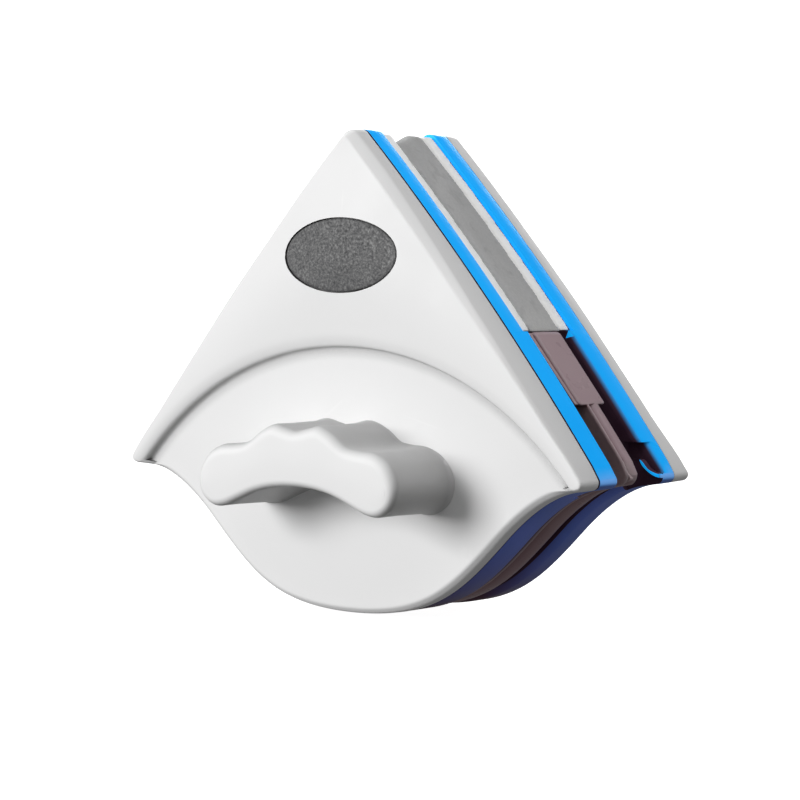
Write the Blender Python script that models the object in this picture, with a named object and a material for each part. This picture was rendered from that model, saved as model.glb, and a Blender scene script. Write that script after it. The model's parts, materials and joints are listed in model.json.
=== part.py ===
# Double-sided magnetic glass cleaner: two magnet-loaded halves that grip a pane between
# them, parked on a spacer board.  Metres, +Z up, apex at the top.  The glass plane is
# Y = 0, the front half lies towards -Y and the rear half towards +Y.
import math

import bmesh
import bpy
import numpy as np

MM = 0.001

# ---- driving dimensions (millimetres) --------------------------------------------------
APEX_Z = 64.1              # where the two straight-ish sides would meet
APEX_RADIUS = 3.0
CORNER_RADIUS = 1.9
SIDE_FOOT = (75.8, -25.4)  # lower end of the side, before the corner is rounded
SIDE_BULGE = 2.1           # how far each side bows outwards
BELL_BOTTOM_Z = -62.9

ARC_CENTRE_Z = -84.5       # the round step across the cover
ARC_RADIUS = 91.0
ARC_SOFT = 0.8             # half width of the step's slope

RAISED_Q = 24.96           # distance of each layer from the glass plane
CROWN_Q = 27.0             # the raised field swells to this height around the badge
CROWN_RUN = 9.2
LOW_Q = 22.06
COVER_Q = 17.65
SEAL_Q = (17.15, 17.55)
BASE_TOP_Q = 17.05
BASE_FLOOR_Q = 13.4
BASE_FACE_Q = 9.2
PAD_SEAT_Q = 11.4
PAD_Q = (6.8, 11.1)
FOAM_Q = 6.5
BLOCK_Y = (-7.0, 5.9)        # the tray's rest blocks reach nearer to the front base
BELL_LIP_Q = 7.3            # the front base's thin lip along the bell
MAGNET_Q = (13.7, 17.5)
YOKE_Q = (17.8, 19.2)
GRIP_FRONT_Q = 45.2
GRIP_BACK_Q = 22.36

COVER_WALL = 2.2
BASE_WALL = 2.2
PAD_WIDTH = 21.0
PAD_END_Z = 11.3
MAGNET_RADIUS = 10.0
MAGNETS = (("top", 0.0, 28.0), ("left", -27.0, -6.0), ("right", 27.0, -6.0))
BASE_SCREWS = ((0.0, -44.0), (-46.0, -19.0), (46.0, -19.0))
GRIP_SCREWS = (("left", -23.0, -27.2), ("right", 23.0, -27.2))
BADGE = (18.5, 9.76, 30.1)  # half width, half height, centre height of the oval recess

HUB = np.array((0.0, -6.0))  # every ray of the outline starts here


# ---- start clean -----------------------------------------------------------------------
for old in list(bpy.data.objects):
    bpy.data.objects.remove(old, do_unlink=True)
for old in list(bpy.data.meshes):
    bpy.data.meshes.remove(old)
for old in list(bpy.data.materials):
    bpy.data.materials.remove(old)


# ---- outline ---------------------------------------------------------------------------
def bezier(p0, p1, p2, p3, steps):
    """Points of a cubic curve, its last point left out."""
    pts = []
    for i in range(steps):
        t = i / steps
        a, b, c, d = (1 - t) ** 3, 3 * t * (1 - t) ** 2, 3 * t * t * (1 - t), t ** 3
        pts.append(tuple(a * p0[k] + b * p1[k] + c * p2[k] + d * p3[k] for k in (0, 1)))
    return pts


def rounded(prev, corner, nxt, radius, steps):
    """An arc that replaces a sharp corner."""
    a = np.array(prev) - corner
    b = np.array(nxt) - corner
    a, b = a / np.linalg.norm(a), b / np.linalg.norm(b)
    half = 0.5 * math.acos(max(-1.0, min(1.0, float(a @ b))))
    reach = radius / math.tan(half)
    start, end = np.array(corner) + a * reach, np.array(corner) + b * reach
    mid = (a + b) / np.linalg.norm(a + b)
    centre = np.array(corner) + mid * (radius / math.sin(half))
    t0 = math.atan2(*(start - centre)[::-1])
    t1 = math.atan2(*(end - centre)[::-1])
    turn = (t1 - t0 + math.pi) % (2 * math.pi) - math.pi
    return [tuple(centre + radius * np.array((math.cos(t0 + turn * i / steps),
                                              math.sin(t0 + turn * i / steps))))
            for i in range(steps + 1)]


def side_point(t):
    """The right side from the apex (t = 0) to the corner (t = 1), gently bowed."""
    a, b = np.array((0.0, APEX_Z)), np.array(SIDE_FOOT)
    along = b - a
    out = np.array((-along[1], along[0]))
    out = out / np.linalg.norm(out)
    return a + along * t + out * (SIDE_BULGE * 4 * t * (1 - t))


def half_outline(fine):
    """Right half of the plan, from the top of the apex down to the bottom of the bell."""
    pts = []
    a0, a1 = side_point(0.0), side_point(0.07)
    cap = rounded((-a1[0], a1[1]), tuple(a0), tuple(a1), APEX_RADIUS, 6 * fine)
    pts += cap[len(cap) // 2:]
    for i in range(9 * fine):
        t = 0.09 + (0.955 - 0.09) * i / (9 * fine - 1)
        pts.append(tuple(side_point(t)))
    corner_in, corner_out = tuple(side_point(0.97)), (72.0, -27.3)
    sharp = (75.95, -26.75)
    pts += rounded(corner_in, sharp, corner_out, CORNER_RADIUS, 3 * fine)
    lower = bezier((70.2, -27.65), (62.6, -28.4), (54.6, -34.2), (48.0, -40.8), 6 * fine)
    lower += bezier((48.0, -40.8), (34.0, -54.8), (26.0, BELL_BOTTOM_Z), (0.0, BELL_BOTTOM_Z),
                    8 * fine)
    pts += lower
    return pts


def outline(fine=1):
    """The whole plan, counter-clockwise seen from the handle side (x right, z up)."""
    right = half_outline(fine)
    full = [(0.0, BELL_BOTTOM_Z)]
    full += list(reversed([p for p in right if p[0] > 1e-6]))
    top = [p for p in right if p[0] <= 1e-6]
    if top:
        full.append((0.0, top[0][1]))
    full += [(-p[0], p[1]) for p in right if p[0] > 1e-6]
    return np.array(full)


PLAN = outline()
PLAN_FINE = outline(4)
Z_SHIFT = -0.5 * (PLAN[:, 1].max() + PLAN[:, 1].min())   # origin at the box centre


def edge_distance(pts):
    """Distance of each point from the plan's edge."""
    pts = np.atleast_2d(pts)
    a = PLAN_FINE
    b = np.roll(PLAN_FINE, -1, axis=0)
    ab = b - a
    ap = pts[:, None, :] - a[None]
    t = np.clip((ap * ab[None]).sum(2) / (ab * ab).sum(1)[None], 0, 1)
    d = ap - t[..., None] * ab[None]
    return np.sqrt((d * d).sum(2)).min(1)


def inset_ring(depth):
    """The plan's edge moved inwards by depth (a number, or one for each point)."""
    depth = np.zeros(len(PLAN)) + depth
    lo, hi = np.zeros(len(PLAN)), np.ones(len(PLAN)) * 0.75
    for _ in range(34):
        mid = 0.5 * (lo + hi)
        pts = PLAN + (HUB - PLAN) * mid[:, None]
        deep = edge_distance(pts) >= depth
        hi = np.where(deep, mid, hi)
        lo = np.where(deep, lo, mid)
    hi = np.where(depth <= 0, 0.0, hi)
    return PLAN + (HUB - PLAN) * hi[:, None]


def step_height(pts):
    """Signed distance outside the round step: above it the cover is raised."""
    pts = np.atleast_2d(pts)
    return np.hypot(pts[:, 0], pts[:, 1] - ARC_CENTRE_Z) - ARC_RADIUS


# ---- mesh helpers ----------------------------------------------------------------------
def place(side, x, z, q):
    """Plan position and distance from the glass, in world metres."""
    if side == "front":
        return (x * MM, -q * MM, (z + Z_SHIFT) * MM)
    if side == "rear":
        return (-x * MM, q * MM, (z + Z_SHIFT) * MM)
    return (x * MM, q * MM, (z + Z_SHIFT) * MM)


def material(name, color, rough, metal=0.0):
    mat = bpy.data.materials.get(name)
    if mat is None:
        mat = bpy.data.materials.new(name)
        mat.use_nodes = True
        bsdf = mat.node_tree.nodes["Principled BSDF"]
        bsdf.inputs["Base Color"].default_value = (*color, 1.0)
        bsdf.inputs["Roughness"].default_value = rough
        bsdf.inputs["Metallic"].default_value = metal
        mat.diffuse_color = (*color, 1.0)
    return mat


def finish_mesh(name, bm, mat, smooth=False):
    bmesh.ops.remove_doubles(bm, verts=bm.verts, dist=2e-5)
    bmesh.ops.recalc_face_normals(bm, faces=bm.faces)
    mesh = bpy.data.meshes.new(name)
    bm.to_mesh(mesh)
    bm.free()
    for poly in mesh.polygons:
        poly.use_smooth = smooth
    obj = bpy.data.objects.new(name, mesh)
    bpy.context.scene.collection.objects.link(obj)
    if mat is not None:
        mesh.materials.append(mat)
    return obj


def loft(name, side, rings, mat=None, smooth=False, closed=True):
    """A closed solid through rings of (x, z, q) rows, capped at both ends."""
    bm = bmesh.new()
    rows = [[bm.verts.new(place(side, *p)) for p in ring] for ring in rings]
    count = len(rows[0])
    for lower, upper in zip(rows, rows[1:]):
        for i in range(count if closed else count - 1):
            j = (i + 1) % count
            bm.faces.new((lower[i], lower[j], upper[j], upper[i]))
    bm.faces.new(list(reversed(rows[0])))
    bm.faces.new(rows[-1])
    return finish_mesh(name, bm, mat, smooth)


def level(pts, q):
    q = np.zeros(len(pts)) + q
    return [(p[0], p[1], float(h)) for p, h in zip(pts, q)]


def prism(name, side, poly, q0, q1, mat=None, smooth=False):
    return loft(name, side, [level(poly, q0), level(poly, q1)], mat, smooth)


def circle(cx, cz, radius, count=24):
    return [(cx + radius * math.cos(2 * math.pi * i / count),
             cz + radius * math.sin(2 * math.pi * i / count)) for i in range(count)]


def turned(name, side, cx, cz, profile, mat=None, count=24, smooth=False):
    """A round piece about an axis square to the glass: profile rows are (radius, q)."""
    return loft(name, side, [level(circle(cx, cz, r, count), q) for r, q in profile],
                mat, smooth)


def joined(name, objs):
    """Several separate closed solids as one object, used for cutting or joining."""
    bm = bmesh.new()
    for obj in objs:
        bm.from_mesh(obj.data)
        bpy.data.objects.remove(obj, do_unlink=True)
    return finish_mesh(name, bm, None)


def boolean(target, other, operation):
    mod = target.modifiers.new(operation.lower(), "BOOLEAN")
    mod.operation = operation
    mod.solver = "EXACT"
    mod.object = other
    other.hide_render = True
    other.display_type = "WIRE"
    return target


def settle(obj):
    """Keep the result of the cuts as the piece's own mesh and drop the cutters."""
    graph = bpy.context.evaluated_depsgraph_get()
    mesh = bpy.data.meshes.new_from_object(obj.evaluated_get(graph))
    used = [m.object for m in obj.modifiers if m.type == "BOOLEAN"]
    obj.modifiers.clear()
    obj.data = mesh
    mesh.name = obj.name
    for cutter in used:
        bpy.data.objects.remove(cutter, do_unlink=True)
    return obj


# ---- colours ---------------------------------------------------------------------------
WHITE = material("white_cover", (0.82, 0.82, 0.82), 0.30)
BLUE = material("blue_base", (0.010, 0.382, 0.965), 0.35)
BADGE_GREY = material("badge_inlay", (0.12, 0.12, 0.12), 0.70)
SEAL = material("seal_rubber", (0.015, 0.02, 0.03), 0.70)
STEEL = material("steel_plate", (0.55, 0.55, 0.56), 0.35, 1.0)
NICKEL = material("nickel_magnet", (0.66, 0.64, 0.60), 0.22, 1.0)
FLEECE = material("white_fleece", (0.72, 0.72, 0.70), 0.95)
RUBBER = material("brown_rubber", (0.045, 0.028, 0.032), 0.45)
SCREW = material("screw_steel", (0.60, 0.60, 0.60), 0.30, 1.0)
FOAM = material("grey_foam", (0.34, 0.34, 0.34), 0.90)
SMOKE = material("smoked_plastic", (0.24, 0.165, 0.19), 0.30)


# ---- cover -----------------------------------------------------------------------------
def fillet_radius(pts):
    """The cover's edge rounding: widest half-way down the sides, small at the corners
    and along the bell."""
    pts = np.atleast_2d(pts)
    low = np.clip((pts[:, 1] + 26.0) / 34.0, 0, 1)
    low = low * low * (3 - 2 * low)
    return 0.9 + 1.4 * low


def cover(side, bell_soft):
    """The white cover: a cap with a raised upper field, a round step and, below it, a
    lower field that carries the handle.  bell_soft makes the bell's rim roll away."""
    raised = step_height(PLAN) > 0.0
    top = np.where(raised, RAISED_Q, LOW_Q)
    radius = fillet_radius(PLAN)
    run, rise = radius.copy(), radius.copy()
    if bell_soft:
        run = np.where(raised, radius, 7.0)
        rise = np.where(raised, radius, 3.7)

    def along(rim, test):
        """How far along its ray each rim point has to go before test holds."""
        ray = HUB - rim
        lo, hi = np.zeros(len(rim)), np.ones(len(rim))
        for _ in range(30):
            mid = 0.5 * (lo + hi)
            inside = test(rim + ray * mid[:, None])
            hi = np.where(inside, mid, hi)
            lo = np.where(inside, lo, mid)
        return hi

    def field(depth):
        """Rings across the face: crown's edge, crown's foot, and both sides of the step."""
        rim = inset_ring(depth)
        ray = HUB - rim
        unit = 1.0 / np.linalg.norm(ray, axis=1)
        top_edge = np.maximum(along(rim, lambda p: step_height(p) < ARC_SOFT), 0.9 * unit)
        foot = np.maximum(along(rim, lambda p: step_height(p) < -ARC_SOFT), 1.6 * unit)
        swell = along(rim, lambda p: edge_distance(p) > CROWN_RUN)
        fall = along(rim, lambda p: step_height(p) < CROWN_RUN)
        swell = np.minimum(swell, top_edge / 3)
        fall = np.maximum(fall, top_edge * 2 / 3)
        fall = np.minimum(fall, top_edge * 0.999 - 0.2 * unit)
        return [rim + ray * t[:, None] for t in (swell, fall, top_edge, foot)]

    def crown(pts):
        reach = np.minimum(edge_distance(pts), step_height(pts) + 1.0)
        return (CROWN_Q - RAISED_Q) * np.clip(reach / CROWN_RUN, 0, 1)

    def skin(shift, drop):
        wall = inset_ring(shift)
        rings = [level(wall, np.zeros(len(wall)) + COVER_Q)]
        if drop == 0:
            rings.append(level(wall, top - rise))
            rings.append(level(inset_ring(shift + run * 0.29), top - rise * 0.29))
            edge = run
        else:
            edge = np.zeros(len(wall)) + shift
            if bell_soft:
                edge = np.where(raised, edge, 6.0)
            rings.append(level(wall, np.where(edge > shift, COVER_Q + 0.4, top - drop)))
        edge = edge + (0.3 if drop else 0.0)
        rings.append(level(inset_ring(edge), top - drop))
        swell, fall, top_edge, foot = field(edge)
        for ring in (swell, fall, top_edge):
            rings.append(level(ring, np.where(raised, top + crown(ring), top) - drop))
        rings.append(level(foot, LOW_Q - drop))
        return rings

    outer, inner = skin(0.0, 0.0), skin(COVER_WALL, COVER_WALL)
    obj = loft(side + "_cover", side, list(reversed(outer)) + inner, WHITE)

    posts = []
    for x, z in BASE_SCREWS:
        posts.append(turned("post", side, x, z, ((3.4, 13.8), (3.4, LOW_Q - 1.0)), count=16))
    boolean(obj, joined(side + "_cover_posts", posts), "UNION")
    cuts = []
    for x, z in BASE_SCREWS:
        cuts.append(turned("pilot", side, x, z, ((1.45, 13.0), (1.45, 20.6)), count=16))
    for _, x, z in GRIP_SCREWS:
        cuts.append(turned("through", side, x, z, ((1.9, 17.0), (1.9, 24.0)), count=16))
    oval = [(BADGE[0] * math.cos(2 * math.pi * i / 48),
             BADGE[2] + BADGE[1] * math.sin(2 * math.pi * i / 48)) for i in range(48)]
    cuts.append(prism("recess", side, oval, CROWN_Q - 1.0, CROWN_Q + 2.0))
    boolean(obj, joined(side + "_cover_cuts", cuts), "DIFFERENCE")
    return settle(obj)


def badge(side):
    a, b, zc = BADGE
    def ring(shrink, q):
        return [((a - shrink) * math.cos(2 * math.pi * i / 48),
                 zc + (b - shrink) * math.sin(2 * math.pi * i / 48), q) for i in range(48)]
    return loft(side + "_badge", side,
                [ring(0.3, CROWN_Q - 0.9), ring(0.3, CROWN_Q - 0.25), ring(0.5, CROWN_Q - 0.1)],
                BADGE_GREY)


# ---- handle ----------------------------------------------------------------------------
def grip_profile(steps):
    """The handle's plan: an arch with two low bumps on top and a lobe at each end."""
    ctrl = [(0.0, -14.7), (3.6, -14.0), (7.4, -13.3), (11.6, -15.0), (16.0, -18.0),
            (20.5, -18.9), (25.5, -19.4), (29.8, -22.0), (32.2, -26.8), (31.2, -31.6),
            (27.6, -34.5), (23.2, -34.4), (18.2, -32.4), (12.6, -30.2), (6.6, -28.9)]
    loop = ctrl + [(0.0, -28.5)] + [(-x, z) for x, z in reversed(ctrl[1:])]
    n = len(loop)
    pts = []
    for i in range(n):
        p0, p1, p2, p3 = (np.array(loop[(i + k) % n]) for k in (-1, 0, 1, 2))
        for s in range(steps):
            t = s / steps
            pts.append(0.5 * ((2 * p1) + (p2 - p0) * t + (2 * p0 - 5 * p1 + 4 * p2 - p3) * t * t
                              + (3 * p1 - p0 - 3 * p2 + p3) * t ** 3))
    return np.array(pts)


def grip(side):
    """The white bar handle, a separate moulding screwed on from inside the cover."""
    plan = grip_profile(2)
    edge = np.roll(plan, -1, axis=0) - np.roll(plan, 1, axis=0)
    normal = np.stack([-edge[:, 1], edge[:, 0]], 1)
    normal /= np.linalg.norm(normal, axis=1)[:, None]
    centre = np.array((0.0, -24.0))
    if ((plan - centre) * normal).sum() < 0:
        normal = -normal
    front, radius = GRIP_FRONT_Q, 3.6
    rows = [(2.4, 0.9, GRIP_BACK_Q), (1.6, 0.6, 23.6), (1.0, 0.4, 27.0), (0.3, 0.2, front - radius)]
    for deg in (30, 60, 90):
        a = math.radians(deg)
        off = 0.3 - (radius - 0.1) * (1 - math.cos(a))
        rows.append((off, off, front - radius + radius * math.sin(a)))
    obj = loft(side + "_grip", side,
               [level(plan + normal * np.array((wide, tall)), q) for wide, tall, q in rows], WHITE)
    cuts = [turned("hole", side, x, z, ((1.75, 20.0), (1.75, 32.0)), count=16)
            for _, x, z in GRIP_SCREWS]
    boolean(obj, joined(side + "_grip_cuts", cuts), "DIFFERENCE")
    return settle(obj)


# ---- base ------------------------------------------------------------------------------
def pad_plan(sign, inset, width, end_z, gap, past=False):
    """One arm of the chevron: along a side, from the apex down to end_z."""
    rim = inset_ring(inset)
    arm = [tuple(p) for p in rim if p[0] >= gap + 0.4 and p[1] > end_z + 0.3]
    arm.sort(key=lambda p: p[1])
    slope = (arm[1][0] - arm[0][0]) / (arm[1][1] - arm[0][1])
    foot = (arm[0][0] + slope * (end_z - arm[0][1]), end_z)
    top_z = max(p[1] for p in rim)
    if past:
        arm = [(foot[0] + 20, end_z), (gap + 12, top_z + 12), (gap, top_z + 12)]
        foot_pts = []
    else:
        foot_pts = [foot]
        arm.append((gap, top_z))
    down = np.array(SIDE_FOOT) - np.array((0.0, APEX_Z))
    down = down / np.linalg.norm(down)
    inward = np.array((down[1], -down[0]))
    start = np.array((0.0, APEX_Z)) + inward * width
    high = (gap, start[1] + down[1] / down[0] * (gap - start[0]))
    low = (start[0] + down[0] / down[1] * (end_z - start[1]), end_z)
    poly = foot_pts + arm + [high, low]
    poly = [(sign * x, z) for x, z in poly]
    return poly if sign > 0 else list(reversed(poly))


def chevron(right):
    """Both arms as one outline, from the right arm's outline."""
    high, low = right[-2], right[-1]
    left = [(-x, z) for x, z in reversed(right[:-2]) if x > 1e-6]
    return right[:-2] + left + [(-low[0], low[1]), high, low]


def bell_rays():
    """Indices of the plan points along the bell, left to right."""
    keep = [i for i, p in enumerate(PLAN) if p[1] < -29.2 and abs(p[0]) < 62.0]
    return sorted(keep, key=lambda i: PLAN[i][0])


def bell_strip(a, b):
    rays = bell_rays()
    near, far = inset_ring(a), inset_ring(b)
    return [tuple(near[i]) for i in rays] + [tuple(far[i]) for i in reversed(rays)]


def base(side):
    """The blue base: a tray whose floor carries the pads, the blade and the magnets."""
    rings = [level(inset_ring(0.5), BASE_FACE_Q), level(inset_ring(0.0), BASE_FACE_Q + 0.5),
             level(inset_ring(0.0), BASE_TOP_Q), level(inset_ring(BASE_WALL), BASE_TOP_Q),
             level(inset_ring(BASE_WALL), BASE_FLOOR_Q)]
    obj = loft(side + "_base", side, rings, BLUE)
    if side == "front":
        boolean(obj, prism("bell_lip", side, bell_strip(0.0, 1.3), BELL_LIP_Q,
                           BASE_FACE_Q + 1.0), "UNION")
    cuts = []
    seat = chevron(pad_plan(1, 0.0, PAD_WIDTH + 0.4, PAD_END_Z - 0.4, 0.0, True))
    cuts.append(prism("seat", side, seat, BASE_FACE_Q - 3.0, PAD_SEAT_Q))
    cuts.append(prism("groove", side, bell_strip(5.7, 8.9), BASE_FACE_Q - 3.0, 11.2))
    for x, z in BASE_SCREWS:
        cuts.append(turned("sink", side, x, z, ((3.3, BASE_FACE_Q - 2), (3.3, 11.4),
                                                (1.7, 11.4), (1.7, 14.2)), count=20))
    # cord eyelet in one lower corner: a pocket open to the side, with a hooked lip
    lip = [(-66.2, -17.0), (-67.0, -20.4), (-68.6, -22.6), (-71.0, -24.4), (-74.0, -25.45),
           (-79.0, -25.9)]
    cuts.append(prism("pocket", side, [(-79.0, -17.0)] + lip, BASE_FACE_Q - 3.0, 14.3))
    under = [(x + 0.35, z - 1.1) for x, z in lip[1:]]
    under[0] = (-65.7, -21.2)
    cuts.append(prism("under", side, under + [(-79.0, -33.0), (-64.0, -33.0)],
                      BASE_FACE_Q - 3.0, 11.6))
    boolean(obj, joined(side + "_base_cuts", cuts), "DIFFERENCE")
    return settle(obj)


def seal(side):
    """The thin dark seal between base and cover: a ring, so it has no caps."""
    bm = bmesh.new()
    rows = []
    for depth, q in ((0.25, SEAL_Q[0]), (0.25, SEAL_Q[1]), (2.0, SEAL_Q[1]), (2.0, SEAL_Q[0])):
        rows.append([bm.verts.new(place(side, *p)) for p in level(inset_ring(depth), q)])
    n = len(PLAN)
    for a, b in zip(rows, rows[1:] + rows[:1]):
        for i in range(n):
            j = (i + 1) % n
            bm.faces.new((a[i], a[j], b[j], b[i]))
    return finish_mesh(side + "_seal", bm, SEAL)


def blade(side):
    """The rubber wiper blade along the bell: a foot held in the base's groove, and a lip."""
    section = ((6.0, 10.9), (8.6, 10.9), (8.6, 9.0), (8.0, 8.5), (7.75, 2.4), (6.9, 2.4),
               (6.6, 8.5), (6.0, 9.0))
    rings = {a: inset_ring(a) for a, _ in section}
    rows = [[(*rings[a][i], q) for a, q in section] for i in bell_rays()[1:-1]]
    return loft(side + "_wiper_blade", side, rows, RUBBER)


def yoke(side):
    """The steel back plate that closes the magnets' field."""
    pts = []
    for _, cx, cz in MAGNETS:
        pts += [(cx + 11.2 * math.cos(2 * math.pi * i / 24),
                 cz + 11.2 * math.sin(2 * math.pi * i / 24)) for i in range(24)]
    hull, todo = [], sorted(pts)
    for order in (todo, list(reversed(todo))):
        chain = []
        for p in order:
            while len(chain) > 1 and (
                    (chain[-1][0] - chain[-2][0]) * (p[1] - chain[-2][1])
                    - (chain[-1][1] - chain[-2][1]) * (p[0] - chain[-2][0])) <= 1e-6:
                chain.pop()
            chain.append(p)
        hull += chain[:-1]
    return prism(side + "_yoke_plate", side, hull, YOKE_Q[0], YOKE_Q[1], STEEL)


def magnet(side, tag, x, z):
    q0, q1 = MAGNET_Q
    r = MAGNET_RADIUS
    return turned(side + "_magnet_" + tag, side, x, z,
                  ((r - 0.4, q0), (r, q0 + 0.4), (r, q1 - 0.4), (r - 0.4, q1)), NICKEL, count=32)


def pad(side, tag, sign):
    plan = pad_plan(sign, 0.8, PAD_WIDTH, PAD_END_Z, 0.25)
    return prism(side + "_pad_" + tag, side, plan, PAD_Q[0], PAD_Q[1], FLEECE)


def screw(name, side, x, z, seat_q, tip_q, head_r, shank_r, head_h):
    """A pan-head screw, its head towards the glass, with a cross recess."""
    rows = ((head_r * 0.75, seat_q - head_h), (head_r, seat_q - head_h * 0.6), (head_r, seat_q),
            (shank_r, seat_q), (shank_r, tip_q - 0.8), (shank_r * 0.5, tip_q))
    obj = turned(name, side, x, z, rows, SCREW, count=16)
    w, l, top = 0.45, head_r * 0.55, seat_q - head_h
    a = prism("slot_a", side, [(x - l, z - w), (x + l, z - w), (x + l, z + w), (x - l, z + w)],
              top - 1.0, top + head_h * 0.45)
    b = prism("slot_b", side, [(x - w, z - l), (x + w, z - l), (x + w, z + l), (x - w, z + l)],
              top - 1.0, top + head_h * 0.45)
    boolean(obj, a, "DIFFERENCE")
    boolean(obj, b, "DIFFERENCE")
    return settle(obj)


def half(side, bell_soft):
    cover(side, bell_soft)
    badge(side)
    grip(side)
    base(side)
    seal(side)
    blade(side)
    yoke(side)
    for tag, x, z in MAGNETS:
        magnet(side, tag, x, z)
    pad(side, "left", -1)
    pad(side, "right", 1)
    for i, (x, z) in enumerate(BASE_SCREWS, 1):
        screw("%s_base_screw_%d" % (side, i), side, x, z, 11.1, 19.6, 2.9, 1.2, 1.7)
    for tag, x, z in GRIP_SCREWS:
        screw("%s_grip_screw_%s" % (side, tag), side, x, z, 19.55, 31.0, 3.0, 1.45, 1.7)


# ---- spacer board ----------------------------------------------------------------------
def spacer_foam():
    """The grey foam chevron that the pads rest on while the cleaner is parked."""
    poly = chevron(pad_plan(1, 0.8, PAD_WIDTH, PAD_END_Z, 0.0))
    return prism("spacer_foam", "mid", poly, -FOAM_Q, FOAM_Q, FOAM)


def spacer_tray():
    """The smoked plastic board: a plate on the glass plane, a rounded rim along its lower
    edge and a thick rest block at each side."""
    rim = inset_ring(1.6)
    low = [tuple(p) for p in rim if p[1] < PAD_END_Z - 0.6]
    right = sorted([p for p in low if p[0] > 0 and p[1] > -26.5], key=lambda p: p[1])
    i_right = [i for i, p in enumerate(rim) if p[1] < PAD_END_Z - 0.6]
    # walk the plan from the left upper end round the bell to the right upper end
    order = sorted(i_right, key=lambda i: math.atan2(rim[i][0], -(rim[i][1] - 12.0)))
    plate = [tuple(rim[i]) for i in order]
    top_x = right[-1][0] + 0.0
    plate = [(-top_x, PAD_END_Z - 0.4)] + plate + [(top_x, PAD_END_Z - 0.4)]
    obj = prism("spacer_tray", "mid", plate, -0.9, 1.9, SMOKE)

    near = inset_ring(0.4)
    blocks = []
    for sign in (1, -1):
        pick = [i for i in range(len(PLAN)) if sign * near[i][0] > 0
                and -7.2 < near[i][1] < PAD_END_Z - 0.8]
        pick.sort(key=lambda i: near[i][1])
        lo, hi = near[pick[0]], near[pick[-1]]
        slope = (hi[0] - lo[0]) / (hi[1] - lo[1])
        z0, z1 = -7.2, PAD_END_Z - 0.4
        outer = [(lo[0] + slope * (z0 - lo[1]), z0), (hi[0] + slope * (z1 - hi[1]), z1)]
        poly = outer + [(outer[1][0] - sign * 14.0, z1), (outer[0][0] - sign * 14.0, z0)]
        if sign < 0:
            poly = list(reversed(poly))
        blocks.append(prism("block", "mid", poly, *BLOCK_Y))
    boolean(obj, joined("tray_blocks", blocks), "UNION")

    # the rim: a small lip at the front, then a half-round bead; deeper along the bell
    side_section = ((0.35, -2.6), (0.30, -2.3), (0.95, -1.6), (0.42, -0.2), (0.26, 1.0),
                    (0.55, 2.5), (1.15, 3.25), (2.0, 3.5), (4.2, 3.5), (4.2, -2.7), (1.2, -2.8))
    bell_section = ((0.62, -4.2), (0.55, -3.9), (1.05, -2.8), (0.52, -0.9), (0.30, 1.4),
                    (0.50, 3.9), (1.1, 5.1), (2.0, 5.6), (4.2, 5.6), (4.2, -4.2), (1.5, -4.4))
    rings = {d: inset_ring(d) for d, _ in side_section + bell_section}
    rows = []
    for i in order:
        if PLAN[i][1] >= -6.5:
            continue
        t = np.clip((66.0 - abs(PLAN[i][0])) / 9.0, 0, 1) if PLAN[i][1] < -26.9 else 0.0
        row = []
        for (d0, q0), (d1, q1) in zip(side_section, bell_section):
            p = rings[d0][i] * (1 - t) + rings[d1][i] * t
            row.append((p[0], p[1], q0 * (1 - t) + q1 * t))
        rows.append(row)
    bead = loft("tray_bead", "mid", rows)
    boolean(obj, bead, "UNION")
    return settle(obj)


half("front", False)
half("rear", True)
spacer_foam()
spacer_tray()
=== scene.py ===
import json
import math

import bmesh
import bpy
import numpy as np
from mathutils import Matrix, Vector, noise


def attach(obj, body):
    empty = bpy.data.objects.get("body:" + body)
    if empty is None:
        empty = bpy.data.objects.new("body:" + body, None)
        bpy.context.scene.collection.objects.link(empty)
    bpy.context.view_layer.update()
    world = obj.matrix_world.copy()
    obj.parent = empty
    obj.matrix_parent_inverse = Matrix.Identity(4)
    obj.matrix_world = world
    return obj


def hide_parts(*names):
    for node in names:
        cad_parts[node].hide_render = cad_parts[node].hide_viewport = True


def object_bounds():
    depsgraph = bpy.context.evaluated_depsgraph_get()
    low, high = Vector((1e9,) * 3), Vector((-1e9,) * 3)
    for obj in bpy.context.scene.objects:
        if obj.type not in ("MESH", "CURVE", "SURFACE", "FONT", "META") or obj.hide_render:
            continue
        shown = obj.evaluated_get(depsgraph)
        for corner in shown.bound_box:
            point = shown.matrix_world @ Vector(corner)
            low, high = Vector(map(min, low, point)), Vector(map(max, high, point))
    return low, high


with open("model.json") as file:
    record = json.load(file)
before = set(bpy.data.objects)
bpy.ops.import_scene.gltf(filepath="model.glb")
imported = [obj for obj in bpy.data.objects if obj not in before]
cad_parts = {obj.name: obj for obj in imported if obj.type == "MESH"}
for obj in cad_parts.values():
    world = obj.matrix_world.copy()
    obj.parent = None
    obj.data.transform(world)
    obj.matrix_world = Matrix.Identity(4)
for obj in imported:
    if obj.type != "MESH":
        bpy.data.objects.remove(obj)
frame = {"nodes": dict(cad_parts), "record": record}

CAD_BOX = [list(v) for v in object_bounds()]
NODES = frame["nodes"]
MM = 0.001

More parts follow.
